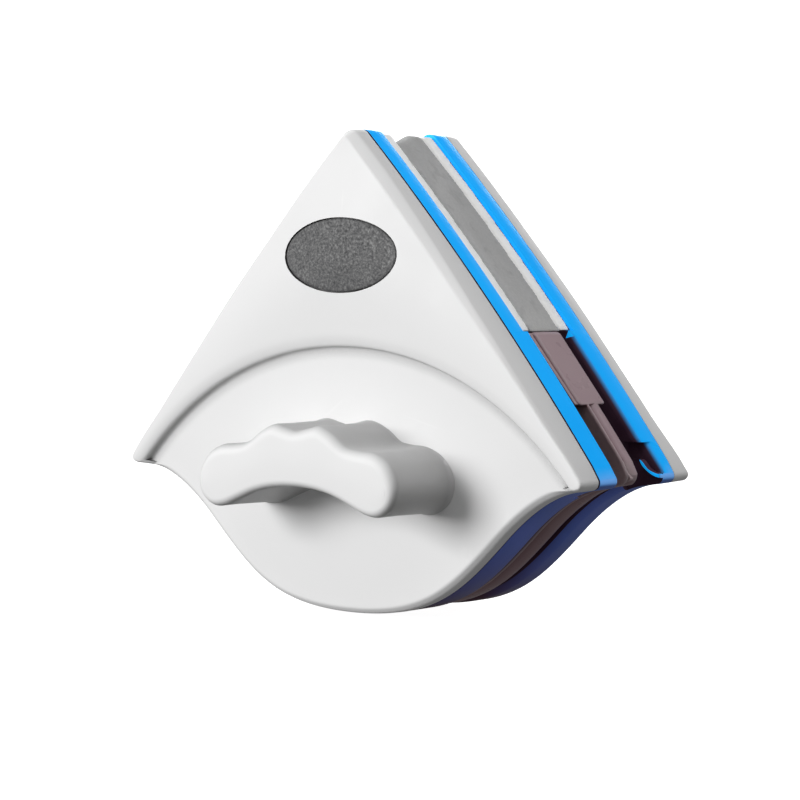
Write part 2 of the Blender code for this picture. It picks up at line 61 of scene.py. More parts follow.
# =========================================================================================
# Plan of the cleaner, in millimetres: x to the right, z up, q the distance from the glass.
# =========================================================================================
APEX_Z, APEX_RADIUS, CORNER_RADIUS = 64.1, 3.0, 1.9
SIDE_FOOT, SIDE_BULGE, BELL_BOTTOM_Z = (75.8, -25.4), 2.1, -62.9
ARC_CENTRE_Z, ARC_RADIUS = -84.5, 91.0
RAISED_Q, CROWN_Q, LOW_Q, COVER_Q = 24.96, 27.0, 22.06, 17.65
BASE_TOP_Q, BASE_FLOOR_Q, BASE_FACE_Q, PAD_SEAT_Q = 17.05, 13.4, 9.2, 11.4
PAD_WIDTH, PAD_END_Z = 21.0, 11.3
BADGE = (18.5, 9.76, 30.1)
GRIP_FRONT_Q = 45.2
BASE_SCREWS = ((0.0, -44.0), (-46.0, -19.0), (46.0, -19.0))
HUB = np.array((0.0, -6.0))


def bezier(p0, p1, p2, p3, steps):
    pts = []
    for i in range(steps):
        t = i / steps
        a, b, c, d = (1 - t) ** 3, 3 * t * (1 - t) ** 2, 3 * t * t * (1 - t), t ** 3
        pts.append(tuple(a * p0[k] + b * p1[k] + c * p2[k] + d * p3[k] for k in (0, 1)))
    return pts


def rounded(prev, corner, nxt, radius, steps):
    a, b = np.array(prev) - corner, np.array(nxt) - corner
    a, b = a / np.linalg.norm(a), b / np.linalg.norm(b)
    half = 0.5 * math.acos(max(-1.0, min(1.0, float(a @ b))))
    reach = radius / math.tan(half)
    start, end = np.array(corner) + a * reach, np.array(corner) + b * reach
    mid = (a + b) / np.linalg.norm(a + b)
    centre = np.array(corner) + mid * (radius / math.sin(half))
    t0 = math.atan2(*(start - centre)[::-1])
    t1 = math.atan2(*(end - centre)[::-1])
    turn = (t1 - t0 + math.pi) % (2 * math.pi) - math.pi
    return [tuple(centre + radius * np.array((math.cos(t0 + turn * i / steps),
                                              math.sin(t0 + turn * i / steps))))
            for i in range(steps + 1)]


def side_point(t):
    a, b = np.array((0.0, APEX_Z)), np.array(SIDE_FOOT)
    along = b - a
    out = np.array((-along[1], along[0]))
    out = out / np.linalg.norm(out)
    return a + along * t + out * (SIDE_BULGE * 4 * t * (1 - t))


def outline(fine):
    pts = []
    a0, a1 = side_point(0.0), side_point(0.07)
    cap = rounded((-a1[0], a1[1]), tuple(a0), tuple(a1), APEX_RADIUS, 6 * max(2, fine // 2))
    pts += cap[len(cap) // 2:]
    n = 9 * fine
    for i in range(n):
        pts.append(tuple(side_point(0.09 + (0.955 - 0.09) * i / (n - 1))))
    pts += rounded(tuple(side_point(0.97)), (75.95, -26.75), (72.0, -27.3), CORNER_RADIUS,
                   3 * max(2, fine // 2))
    pts += bezier((70.2, -27.65), (62.6, -28.4), (54.6, -34.2), (48.0, -40.8), 6 * fine)
    pts += bezier((48.0, -40.8), (34.0, -54.8), (26.0, BELL_BOTTOM_Z), (0.0, BELL_BOTTOM_Z),
                  8 * fine)
    full = [(0.0, BELL_BOTTOM_Z)] + list(reversed([p for p in pts if p[0] > 1e-6]))
    top = [p for p in pts if p[0] <= 1e-6]
    if top:
        full.append((0.0, top[0][1]))
    full += [(-p[0], p[1]) for p in pts if p[0] > 1e-6]
    return np.array(full)


COARSE = outline(1)
Z_SHIFT = -0.5 * (COARSE[:, 1].max() + COARSE[:, 1].min())
PLAN = outline(7)


def edge_distance(pts, plan=None):
    """Distance of each point from the plan's edge, in slices to keep the memory small."""
    a = PLAN if plan is None else plan
    b = np.roll(a, -1, axis=0)
    ab = b - a
    ab2 = (ab * ab).sum(1)
    pts = np.atleast_2d(pts)
    out = np.empty(len(pts))
    for k in range(0, len(pts), 4000):
        ap = pts[k:k + 4000, None, :] - a[None]
        t = np.clip((ap * ab[None]).sum(2) / ab2[None], 0, 1)
        d = ap - t[..., None] * ab[None]
        out[k:k + 4000] = np.sqrt((d * d).sum(2)).min(1)
    return out


_rings = {}


def inset_ring(depth, plan=None):
    plan = PLAN if plan is None else plan
    key = (len(plan), float(depth)) if np.isscalar(depth) else None
    if key in _rings:
        return _rings[key]
    want = np.zeros(len(plan)) + depth
    lo, hi = np.zeros(len(plan)), np.ones(len(plan)) * 0.75
    for _ in range(22):
        mid = 0.5 * (lo + hi)
        deep = edge_distance(plan + (HUB - plan) * mid[:, None], plan) >= want
        hi = np.where(deep, mid, hi)
        lo = np.where(deep, lo, mid)
    hi = np.where(want <= 0, 0.0, hi)
    ring = plan + (HUB - plan) * hi[:, None]
    if key:
        _rings[key] = ring
    return ring


def step_distance(pts):
    pts = np.atleast_2d(pts)
    return np.hypot(pts[:, 0], pts[:, 1] - ARC_CENTRE_Z) - ARC_RADIUS


def ease(t):
    t = np.clip(t, 0, 1)
    return t * t * t * (10 - 15 * t + 6 * t * t)


def place(side, rows):
    """Rows of (x, z, q) in millimetres to world metres."""
    r = np.asarray(rows, float)
    out = np.empty_like(r)
    s = -1.0 if side == "rear" else 1.0
    out[:, 0] = s * r[:, 0]
    out[:, 1] = -r[:, 2] if side == "front" else r[:, 2]
    out[:, 2] = r[:, 1] + Z_SHIFT
    return out * MM


# =========================================================================================
# Mesh helpers
# =========================================================================================
def make(name, verts, faces, smooth=True, angle=None):
    mesh = bpy.data.meshes.new(name)
    mesh.from_pydata([tuple(v) for v in verts], [], faces)
    mesh.validate()
    bm = bmesh.new()
    bm.from_mesh(mesh)
    bmesh.ops.remove_doubles(bm, verts=bm.verts, dist=1e-6)
    bmesh.ops.recalc_face_normals(bm, faces=bm.faces)
    bm.to_mesh(mesh)
    bm.free()
    mesh.shade_smooth() if smooth else mesh.shade_flat()
    if angle is not None:
        mesh.set_sharp_from_angle(angle=math.radians(angle))
    obj = bpy.data.objects.new(name, mesh)
    bpy.context.scene.collection.objects.link(obj)
    return obj


def ringed(side, rings, cap_low="fan", cap_high="fan"):
    """Vertices and faces of a stack of equal rings of (x, z, q) rows."""
    n = len(rings[0])
    verts = np.vstack([place(side, r) for r in rings])
    faces = []
    for k in range(len(rings) - 1):
        a, b = k * n, (k + 1) * n
        faces += [(a + i, a + (i + 1) % n, b + (i + 1) % n, b + i) for i in range(n)]
    extra = []
    for cap, base, ring in ((cap_low, 0, rings[0]), (cap_high, (len(rings) - 1) * n, rings[-1])):
        if cap == "fan":
            c = len(verts) + len(extra)
            extra.append(place(side, [np.asarray(ring, float).mean(0)])[0])
            faces += [(base + i, base + (i + 1) % n, c) for i in range(n)]
        elif cap == "ngon":
            faces.append(tuple(base + i for i in range(n)))
    if extra:
        verts = np.vstack([verts, extra])
    return verts, faces


def level(pts, q):
    pts = np.asarray(pts, float)
    return np.column_stack([pts[:, :2], np.zeros(len(pts)) + q])


def cut(target, cutters, operation="DIFFERENCE"):
    """Booleans applied at once; the cutters are removed."""
    for c in cutters:
        mod = target.modifiers.new("cut", "BOOLEAN")
        mod.operation = operation
        mod.solver = "EXACT"
        mod.object = c
    return settle(target, cutters)


def settle(obj, drop=()):
    graph = bpy.context.evaluated_depsgraph_get()
    mesh = bpy.data.meshes.new_from_object(obj.evaluated_get(graph))
    obj.modifiers.clear()
    obj.data = mesh
    mesh.name = obj.name
    for c in drop:
        bpy.data.objects.remove(c, do_unlink=True)
    return obj


def prism(name, side, poly, q0, q1):
    v, f = ringed(side, [level(poly, q0), level(poly, q1)], "ngon", "ngon")
    return make(name, v, f, smooth=False)


def turned(name, side, x, z, profile, count=48):
    rings = []
    for r, q in profile:
        rings.append([(x + r * math.cos(2 * math.pi * i / count),
                       z + r * math.sin(2 * math.pi * i / count), q) for i in range(count)])
    v, f = ringed(side, rings, "ngon", "ngon")
    return make(name, v, f, smooth=False)


def sharpen(obj, angle=32):
    obj.data.shade_smooth()
    obj.data.set_sharp_from_angle(angle=math.radians(angle))
    return obj


def bevelled(obj, width, segments=3, angle=40):
    mod = obj.modifiers.new("bevel", "BEVEL")
    mod.width = width
    mod.segments = segments
    mod.limit_method = "ANGLE"
    mod.angle_limit = math.radians(angle)
    mod.harden_normals = False
    return settle(obj)


# =========================================================================================
# Materials: every one is built from nodes in the piece's own coordinates
# =========================================================================================
class Mat:
    def __init__(self, name):
        self.mat = bpy.data.materials.new(name)
        self.mat.use_nodes = True
        self.nt = self.mat.node_tree
        self.bsdf = self.nt.nodes["Principled BSDF"]
        self.coord = self.nt.nodes.new("ShaderNodeTexCoord")

    def set(self, **kw):
        for k, v in kw.items():
            self.bsdf.inputs[k.replace("_", " ")].default_value = v
        return self

    def node(self, kind, **props):
        n = self.nt.nodes.new(kind)
        for k, v in props.items():
            setattr(n, k, v)
        return n

    def link(self, a, b):
        self.nt.links.new(a, b)

    def noise(self, scale, detail=3.0, rough=0.55, stretch=None, distortion=0.0):
        n = self.node("ShaderNodeTexNoise")
        n.inputs["Scale"].default_value = scale
        n.inputs["Detail"].default_value = detail
        n.inputs["Roughness"].default_value = rough
        n.inputs["Distortion"].default_value = distortion
        src = self.coord.outputs["Object"]
        if stretch:
            m = self.node("ShaderNodeMapping")
            m.inputs["Scale"].default_value = stretch
            self.link(src, m.inputs["Vector"])
            src = m.outputs["Vector"]
        self.link(src, n.inputs["Vector"])
        return n.outputs["Fac"]

    def cells(self, scale, feature="F1", output="Distance", randomness=1.0):
        n = self.node("ShaderNodeTexVoronoi", feature=feature)
        n.inputs["Scale"].default_value = scale
        n.inputs["Randomness"].default_value = randomness
        self.link(self.coord.outputs["Object"], n.inputs["Vector"])
        return n.outputs[output]

    def ramp(self, fac, stops):
        n = self.node("ShaderNodeValToRGB")
        el = n.color_ramp.elements
        while len(el) < len(stops):
            el.new(0.5)
        for e, (pos, col) in zip(el, stops):
            e.position = pos
            e.color = (*col, 1.0) if len(col) == 3 else col
        self.link(fac, n.inputs["Fac"])
        return n.outputs["Color"]

    def remap(self, fac, lo, hi, a=0.0, b=1.0):
        n = self.node("ShaderNodeMapRange")
        n.inputs["From Min"].default_value = lo
        n.inputs["From Max"].default_value = hi
        n.inputs["To Min"].default_value = a
        n.inputs["To Max"].default_value = b
        self.link(fac, n.inputs["Value"])
        return n.outputs["Result"]

    def mix(self, fac, a, b, blend="MIX"):
        n = self.node("ShaderNodeMix", data_type="RGBA", blend_type=blend)
        if isinstance(fac, (int, float)):
            n.inputs["Factor"].default_value = fac
        else:
            self.link(fac, n.inputs["Factor"])
        for sock, v in ((n.inputs[6], a), (n.inputs[7], b)):
            if isinstance(v, tuple):
                sock.default_value = (*v, 1.0)
            else:
                self.link(v, sock)
        return n.outputs[2]

    def math(self, op, a, b=None):
        n = self.node("ShaderNodeMath", operation=op)
        for sock, v in ((n.inputs[0], a), (n.inputs[1], b)):
            if v is None:
                continue
            if isinstance(v, (int, float)):
                sock.default_value = v
            else:
                self.link(v, sock)
        return n.outputs[0]

    def bump(self, height, strength, distance):
        n = self.node("ShaderNodeBump")
        n.inputs["Strength"].default_value = strength
        n.inputs["Distance"].default_value = distance
        self.link(height, n.inputs["Height"])
        prev = self.bsdf.inputs["Normal"].links
        if prev:
            self.link(prev[0].from_socket, n.inputs["Normal"])
        self.link(n.outputs["Normal"], self.bsdf.inputs["Normal"])
        return self

    def edges(self, lo=0.50, hi=0.56):
        """Convex edges, for wear and for a painted highlight."""
        g = self.node("ShaderNodeNewGeometry")
        return self.remap(g.outputs["Pointiness"], lo, hi)

    def crevice(self, reach, closed=0.46):
        """1 deep in the piece's own creases, 0 in the open; the mask of the painted crease shade."""
        n = self.node("ShaderNodeAmbientOcclusion", only_local=True, samples=8)
        n.inputs["Distance"].default_value = reach
        return self.remap(n.outputs["AO"], 0.96, closed)

    def sideways(self, lo=0.25, hi=0.95):
        """1 where the piece's own surface faces sideways, 0 where it faces along the depth."""
        sep = self.node("ShaderNodeSeparateXYZ")
        self.link(self.coord.outputs["Normal"], sep.inputs[0])
        return self.remap(self.math("ABSOLUTE", sep.outputs["Y"]), hi, lo)


def white_plastic(name, face=(0.83, 0.83, 0.83), painted_wall_shade=None):
    m = Mat(name).set(Roughness=0.48, Specular_IOR_Level=0.30)
    mottle = m.remap(m.noise(22.0, 3.0), 0.3, 0.7)
    tone = m.mix(mottle, tuple(c * 0.992 for c in face), tuple(min(1.0, c * 1.006) for c in face))
    # painted shade: walls turned sideways take the darker wall tone
    if painted_wall_shade:
        tone = m.mix(m.sideways(0.30, 0.90), tone, painted_wall_shade)
    # convex edges lighter: wear, and a painted highlight
    rubbed_and_highlit = m.math("MULTIPLY", m.edges(0.53, 0.62), 0.35)
    tone = m.mix(rubbed_and_highlit, tone, (0.88, 0.88, 0.88))
    # painted shade: darker in the creases
    m.link(m.mix(m.crevice(0.0034, 0.58), tone, (0.05, 0.05, 0.05)), m.bsdf.inputs["Base Color"])
    m.link(m.remap(m.noise(70.0, 4.0, 0.6), 0.3, 0.75, 0.44, 0.56), m.bsdf.inputs["Roughness"])
    m.bump(m.noise(1500.0, 2.0), 0.05, 0.00010)
    return m.mat


def blue_plastic(name, glassward):
    """Blue where it faces sideways or up, with a painted glow; painted shade: plum on the faces towards the
    glass, indigo on the faces turned down.
    """
    m = Mat(name).set(Roughness=0.42, Specular_IOR_Level=0.10)
    sep = m.node("ShaderNodeSeparateXYZ")
    m.link(m.coord.outputs["Normal"], sep.inputs[0])
    blue = m.mix(m.remap(m.noise(45.0, 4.0), 0.35, 0.65), (0.004, 0.385, 0.97), (0.006, 0.405, 1.0))
    pos = m.node("ShaderNodeSeparateXYZ")
    m.link(m.coord.outputs["Object"], pos.inputs[0])
    # painted highlight: paler blue on the rounded lower corner
    corner = m.math("MULTIPLY", m.remap(m.math("ABSOLUTE", sep.outputs["X"]), 0.80, 0.96),
                    m.remap(pos.outputs["Z"], -0.0215, -0.0240))
    blue = m.mix(m.math("MULTIPLY", corner, 0.80), blue, (0.20, 0.42, 0.88))
    # painted shade: darker indigo on the faces turned down
    under = m.remap(sep.outputs["Z"], -0.10, -0.50)
    painted_under_shade = m.mix(m.math("MULTIPLY", under, 0.95), blue, (0.14, 0.22, 0.62))
    # painted shade: plum on the faces towards the glass
    facing = m.remap(m.math("MULTIPLY", sep.outputs["Y"], glassward), 0.30, 0.86)
    plum = m.mix(m.remap(m.noise(60.0, 3.0), 0.35, 0.65), (0.060, 0.026, 0.050), (0.082, 0.040, 0.066))
    m.link(m.mix(facing, painted_under_shade, plum), m.bsdf.inputs["Base Color"])
    # painted light: the blue glows, except in its painted shade
    m.link(blue, m.bsdf.inputs["Emission Color"])
    painted_glow = m.math("MULTIPLY", m.math("SUBTRACT", 1.0, under), m.math("SUBTRACT", 1.0, facing))
    m.link(m.math("MULTIPLY", painted_glow, 0.34), m.bsdf.inputs["Emission Strength"])
    m.link(m.remap(m.noise(120.0, 5.0), 0.3, 0.75, 0.36, 0.50), m.bsdf.inputs["Roughness"])
    m.bump(m.noise(1300.0, 2.0), 0.05, 0.00010)
    return m.mat


def tinted(name, dark, light, painted_glow=0.0, specular=0.15, fade=None):
    """One tone of the base's plastic, mottled and finely grained; the tones are glowing and shaded copies of
    the blue, painted light and painted shade.
    """
    m = Mat(name).set(Roughness=0.45, Specular_IOR_Level=specular)
    tone = m.mix(m.remap(m.noise(60.0, 3.0), 0.35, 0.65), dark, light)
    if fade:                                     # painted shade, darker towards the middle of the bell
        pos = m.node("ShaderNodeSeparateXYZ")
        m.link(m.coord.outputs["Object"], pos.inputs[0])
        tone = m.mix(m.remap(m.math("ABSOLUTE", pos.outputs["X"]), 0.020, 0.046), fade, tone)
    m.link(tone, m.bsdf.inputs["Base Color"])
    if painted_glow:
        m.link(tone, m.bsdf.inputs["Emission Color"])
        m.set(Emission_Strength=painted_glow)
    m.link(m.remap(m.noise(120.0, 5.0), 0.3, 0.75, 0.38, 0.52), m.bsdf.inputs["Roughness"])
    m.bump(m.noise(1300.0, 2.0), 0.05, 0.00010)
    return m.mat


def badge_stone(name):
    m = Mat(name).set(Roughness=0.62, Specular_IOR_Level=0.4)
    grain = m.noise(1500.0, 2.0, 0.7)
    cloud = m.noise(260.0, 3.0, 0.6)
    mixed = m.math("ADD", m.math("MULTIPLY", grain, 0.72), m.math("MULTIPLY", cloud, 0.28))
    col = m.ramp(mixed, [(0.30, (0.045, 0.045, 0.047)), (0.46, (0.090, 0.090, 0.092)),
                         (0.56, (0.130, 0.130, 0.130)), (0.70, (0.23, 0.23, 0.23))])
    m.link(col, m.bsdf.inputs["Base Color"])
    m.link(m.remap(grain, 0.3, 0.7, 0.75, 0.45), m.bsdf.inputs["Roughness"])
    m.bump(mixed, 0.55, 0.00030)
    return m.mat


def seal_rubber(name):
    m = Mat(name).set(Roughness=0.75, Specular_IOR_Level=0.3)
    m.link(m.ramp(m.noise(400.0), [(0.3, (0.006, 0.010, 0.018)), (0.7, (0.016, 0.024, 0.036))]),
           m.bsdf.inputs["Base Color"])
    m.link(m.remap(m.noise(900.0), 0.3, 0.7, 0.62, 0.85), m.bsdf.inputs["Roughness"])
    m.bump(m.noise(2500.0), 0.3, 0.0001)
    return m.mat


def fleece(name):
    m = Mat(name).set(Roughness=0.95, Specular_IOR_Level=0.15, Sheen_Weight=0.4,
                      Sheen_Roughness=0.5)
    tufts = m.cells(1100.0, "F1")
    cloud = m.noise(120.0, 4.0, 0.65)
    shade = m.math("ADD", m.math("MULTIPLY", tufts, 0.35), m.math("MULTIPLY", cloud, 0.75))
    tone = m.ramp(shade, [(0.25, (0.76, 0.765, 0.755)), (0.55, (0.86, 0.86, 0.85)),
                          (0.85, (0.92, 0.92, 0.91))])
    m.link(tone, m.bsdf.inputs["Base Color"])
    # painted light: the fleece glows faintly in its own tone
    m.link(tone, m.bsdf.inputs["Emission Color"])
    m.set(Emission_Strength=0.20)
    m.link(m.remap(cloud, 0.3, 0.7, 0.88, 1.0), m.bsdf.inputs["Roughness"])
    m.bump(tufts, 0.35, 0.00018)
    m.bump(m.noise(3000.0, 2.0), 0.35, 0.00010)
    return m.mat


def grey_foam(name):
    m = Mat(name).set(Roughness=0.85, Specular_IOR_Level=0.2)
    broad = m.noise(26.0, 3.0, 0.5, stretch=(1.0, 2.5, 1.0), distortion=0.4)
    turn = m.node("ShaderNodeMapping")
    turn.inputs["Rotation"].default_value = (0.0, math.radians(-49.7), 0.0)
    turn.inputs["Scale"].default_value = (1.0, 9.0, 9.0)
    m.link(m.coord.outputs["Object"], turn.inputs["Vector"])
    streak = m.node("ShaderNodeTexNoise")
    streak.inputs["Scale"].default_value = 34.0
    streak.inputs["Detail"].default_value = 3.0
    m.link(turn.outputs["Vector"], streak.inputs["Vector"])
    cells = m.cells(1300.0, "F1")
    base_col = m.ramp(broad, [(0.28, (0.45, 0.452, 0.452)), (0.5, (0.52, 0.52, 0.52)),
                              (0.72, (0.59, 0.59, 0.59))])
    lines = m.remap(streak.outputs["Fac"], 0.56, 0.66)
    base_col = m.mix(m.math("MULTIPLY", lines, 0.40), base_col, (0.36, 0.36, 0.365))
    pos = m.node("ShaderNodeSeparateXYZ")
    m.link(m.coord.outputs["Object"], pos.inputs[0])
    foot = m.math("MULTIPLY", m.remap(pos.outputs["Z"], 0.0185, 0.0145), 0.55)
    base_col = m.mix(foot, base_col, (0.60, 0.60, 0.59))
    pits = m.remap(cells, 0.1, 0.7, 0.0, 1.0)
    m.link(m.mix(m.math("MULTIPLY", pits, 0.14), base_col, (0.28, 0.28, 0.28)),
           m.bsdf.inputs["Base Color"])
    m.link(m.remap(broad, 0.3, 0.7, 0.75, 0.92), m.bsdf.inputs["Roughness"])
    m.bump(cells, 0.25, 0.00025)
    m.bump(broad, 0.30, 0.0010)
    return m.mat


def smoked(name):
    m = Mat(name).set(Roughness=0.34, Specular_IOR_Level=0.25)
    sep = m.node("ShaderNodeSeparateXYZ")
    m.link(m.coord.outputs["Normal"], sep.inputs[0])
    cloud = m.noise(30.0, 3.0, 0.5, distortion=0.6)
    tone = m.ramp(cloud, [(0.3, (0.400, 0.278, 0.308)), (0.5, (0.420, 0.300, 0.330)),
                          (0.72, (0.442, 0.322, 0.350))])
    # painted shade: a darker tone for the faces along the depth and those turned down
    deep = m.ramp(cloud, [(0.3, (0.205, 0.108, 0.122)), (0.7, (0.270, 0.155, 0.165))])
    broad = m.remap(m.math("ABSOLUTE", sep.outputs["Y"]), 0.70, 0.95)
    under = m.math("MULTIPLY", m.remap(sep.outputs["Z"], -0.10, -0.50), 0.75)
    col = m.mix(m.math("MAXIMUM", broad, under), tone, deep)
    # painted highlight: convex edges lighter
    col = m.mix(m.math("MULTIPLY", m.edges(0.51, 0.57), 0.5), col, (0.60, 0.52, 0.53))
    m.link(col, m.bsdf.inputs["Base Color"])
    m.link(m.remap(m.noise(160.0, 4.0), 0.3, 0.7, 0.22, 0.40), m.bsdf.inputs["Roughness"])
    m.bump(m.noise(900.0, 2.0), 0.05, 0.00015)
    return m.mat


def brown_rubber(name):
    m = Mat(name).set(Roughness=0.45, Specular_IOR_Level=0.4)
    m.link(m.ramp(m.noise(70.0, 4.0), [(0.3, (0.050, 0.030, 0.032)), (0.7, (0.085, 0.055, 0.055))]),
           m.bsdf.inputs["Base Color"])
    m.link(m.remap(m.noise(240.0, 4.0), 0.3, 0.7, 0.36, 0.55), m.bsdf.inputs["Roughness"])
    m.bump(m.noise(1600.0, 2.0), 0.15, 0.0001)
    return m.mat


def metal(name, col, rough, stretch, scale=600.0):
    m = Mat(name).set(Metallic=1.0, Roughness=rough)
    grain = m.noise(scale, 4.0, 0.6, stretch=stretch)
    m.link(m.mix(m.remap(grain, 0.3, 0.7), tuple(c * 0.86 for c in col), tuple(min(1, c * 1.06) for c in col)),
           m.bsdf.inputs["Base Color"])
    m.link(m.remap(grain, 0.3, 0.7, rough * 0.75, rough * 1.35), m.bsdf.inputs["Roughness"])
    m.bump(grain, 0.15, 0.00005)
    return m.mat


COVER = white_plastic("cover_white")
# painted shade: the grip's sideways walls are darker
GRIP = white_plastic("grip_white", painted_wall_shade=(0.47, 0.47, 0.47))
BLUE_FRONT = blue_plastic("base_blue_front", 1.0)
BLUE_REAR = blue_plastic("base_blue_rear", -1.0)
# painted light: a glowing copy of the blue
BLUE_FLAT = tinted("base_blue_lip", (0.004, 0.385, 0.97), (0.006, 0.405, 1.0), 0.55)
# painted shade: plum and indigo copies of the blue, for the faces towards the glass and underneath, with a
# faint glow
PAINTED_SHADE_PLUM = tinted("base_inner_painted_shade", (0.064, 0.028, 0.052), (0.088, 0.044, 0.070))
PAINTED_SHADE_INDIGO = tinted("base_under_painted_shade", (0.09, 0.14, 0.46), (0.12, 0.17, 0.54), 0.06,
                fade=(0.060, 0.022, 0.040))
STONE = badge_stone("badge_grain")
SEAL = seal_rubber("seal_dark")
FLEECE = fleece("pad_fleece")
FOAM = grey_foam("foam_grey")
SMOKE = smoked("tray_smoked")
RUBBER = brown_rubber("blade_brown")
STEEL = metal("yoke_steel", (0.56, 0.56, 0.57), 0.36, (1.0, 1.0, 14.0))
NICKEL = metal("magnet_nickel", (0.68, 0.66, 0.62), 0.20, (1.0, 6.0, 1.0), 260.0)
ZINC = metal("screw_zinc", (0.63, 0.63, 0.62), 0.28, (1.0, 1.0, 1.0), 900.0)


def wear(obj, mat):
    obj.data.materials.clear()
    obj.data.materials.append(mat)
    return obj


def stand_for(obj, node, mat):
    wear(obj, mat)
    obj.name = node + "_look"
    body = next(b for b, names in frame["record"]["behaviour"]["bodies"].items() if node in names)
    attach(obj, body)
    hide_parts(node)
    return obj


# =========================================================================================
# Camera: eye level a little above the cleaner, from its right
# =========================================================================================
def camera():
    yaw, pitch, roll = 0.65764208, 0.04617784, 0.00850911
    tx, ty, dist, focal = 0.00041388, -0.02114047, 0.7147624, 2692.5
    cy, sy, cp, sp = math.cos(yaw), math.sin(yaw), math.cos(pitch), math.sin(pitch)
    cr, sr = math.cos(roll), math.sin(roll)
    turn = Matrix(((cr, -sr, 0), (sr, cr, 0), (0, 0, 1))) @ \
        Matrix(((1, 0, 0), (0, cp, -sp), (0, sp, cp))) @ \
        Matrix(((1, 0, 0), (0, 0, -1), (0, 1, 0))) @ \
        Matrix(((cy, sy, 0), (-sy, cy, 0), (0, 0, 1)))
    eye = -(turn.transposed() @ Vector((tx, ty, dist)))
    eye.z += (13.1 + Z_SHIFT) * MM
    data = bpy.data.cameras.new("camera")
    data.sensor_width = 36.0
    data.lens = focal * 36.0 / 800.0
    data.clip_start = 0.02
    obj = bpy.data.objects.new("camera", data)
    bpy.context.scene.collection.objects.link(obj)
    m = Matrix.Identity(4)
    for i in range(3):
        m[i][0], m[i][1], m[i][2] = turn[0][i], -turn[1][i], -turn[2][i]
        m[i][3] = eye[i]
    obj.matrix_world = m
    bpy.context.scene.camera = obj


camera()


# =========================================================================================
# Cover
# =========================================================================================
def rail_distance(pts, sign):
    """Distance from one of the two long sides."""
    keep = [p for p in PLAN if sign * p[0] >= 0 and p[1] > -26.2]
    keep.sort(key=lambda p: p[1])
    a = np.array(keep)
    b = a[1:]
    a = a[:-1]
    ab = b - a
    ab2 = np.maximum((ab * ab).sum(1), 1e-12)
    out = np.empty(len(pts))
    for k in range(0, len(pts), 4000):
        ap = pts[k:k + 4000, None, :] - a[None]
        t = np.clip((ap * ab[None]).sum(2) / ab2[None], 0, 1)
        d = ap - t[..., None] * ab[None]
        out[k:k + 4000] = np.sqrt((d * d).sum(2)).min(1)
    return out


def crown(pts, d, s):
    """The raised field swells gently from its rim and from the step."""
    near = np.ones(len(pts))
    for sign in (1, -1):
        near *= 1.0 - (1.0 - np.clip(rail_distance(pts, sign) / 24.0, 0, 1)) ** 1.8
    up = 1.0 - (1.0 - np.clip((s - 1.0) / 21.0, 0, 1)) ** 1.4
    return (CROWN_Q - RAISED_Q) * near * up


def step_share(s):
    """The step: a broad roll above, a steep middle and a tight fillet below."""
    a = np.abs(s)
    high = 0.95 * (1 - np.exp(-a / 0.30)) + 0.46 * (np.minimum(a, 3.4) - np.minimum(a, 3.4) ** 2 / 6.8)
    low = 0.90 * (1 - np.exp(-a / 0.30)) + 0.22 * (np.minimum(a, 2.2) - np.minimum(a, 2.2) ** 2 / 4.4)
    total = 0.95 + 0.782 + 0.90 + 0.242
    return np.where(s > 0, (1.142 + high) / total, (1.142 - low) / total)


def face_height(pts, d=None):
    """Height of the cover's face over the plan, before the rim is shaped."""
    d = edge_distance(pts) if d is None else d
    s = step_distance(pts)
    raised = RAISED_Q + crown(pts, d, s)
    low = LOW_Q + 0.22 * ease(d / 16.0)
    return low + (raised - low) * step_share(s)


def table(z, zs, vals):
    return np.interp(z, zs, vals)


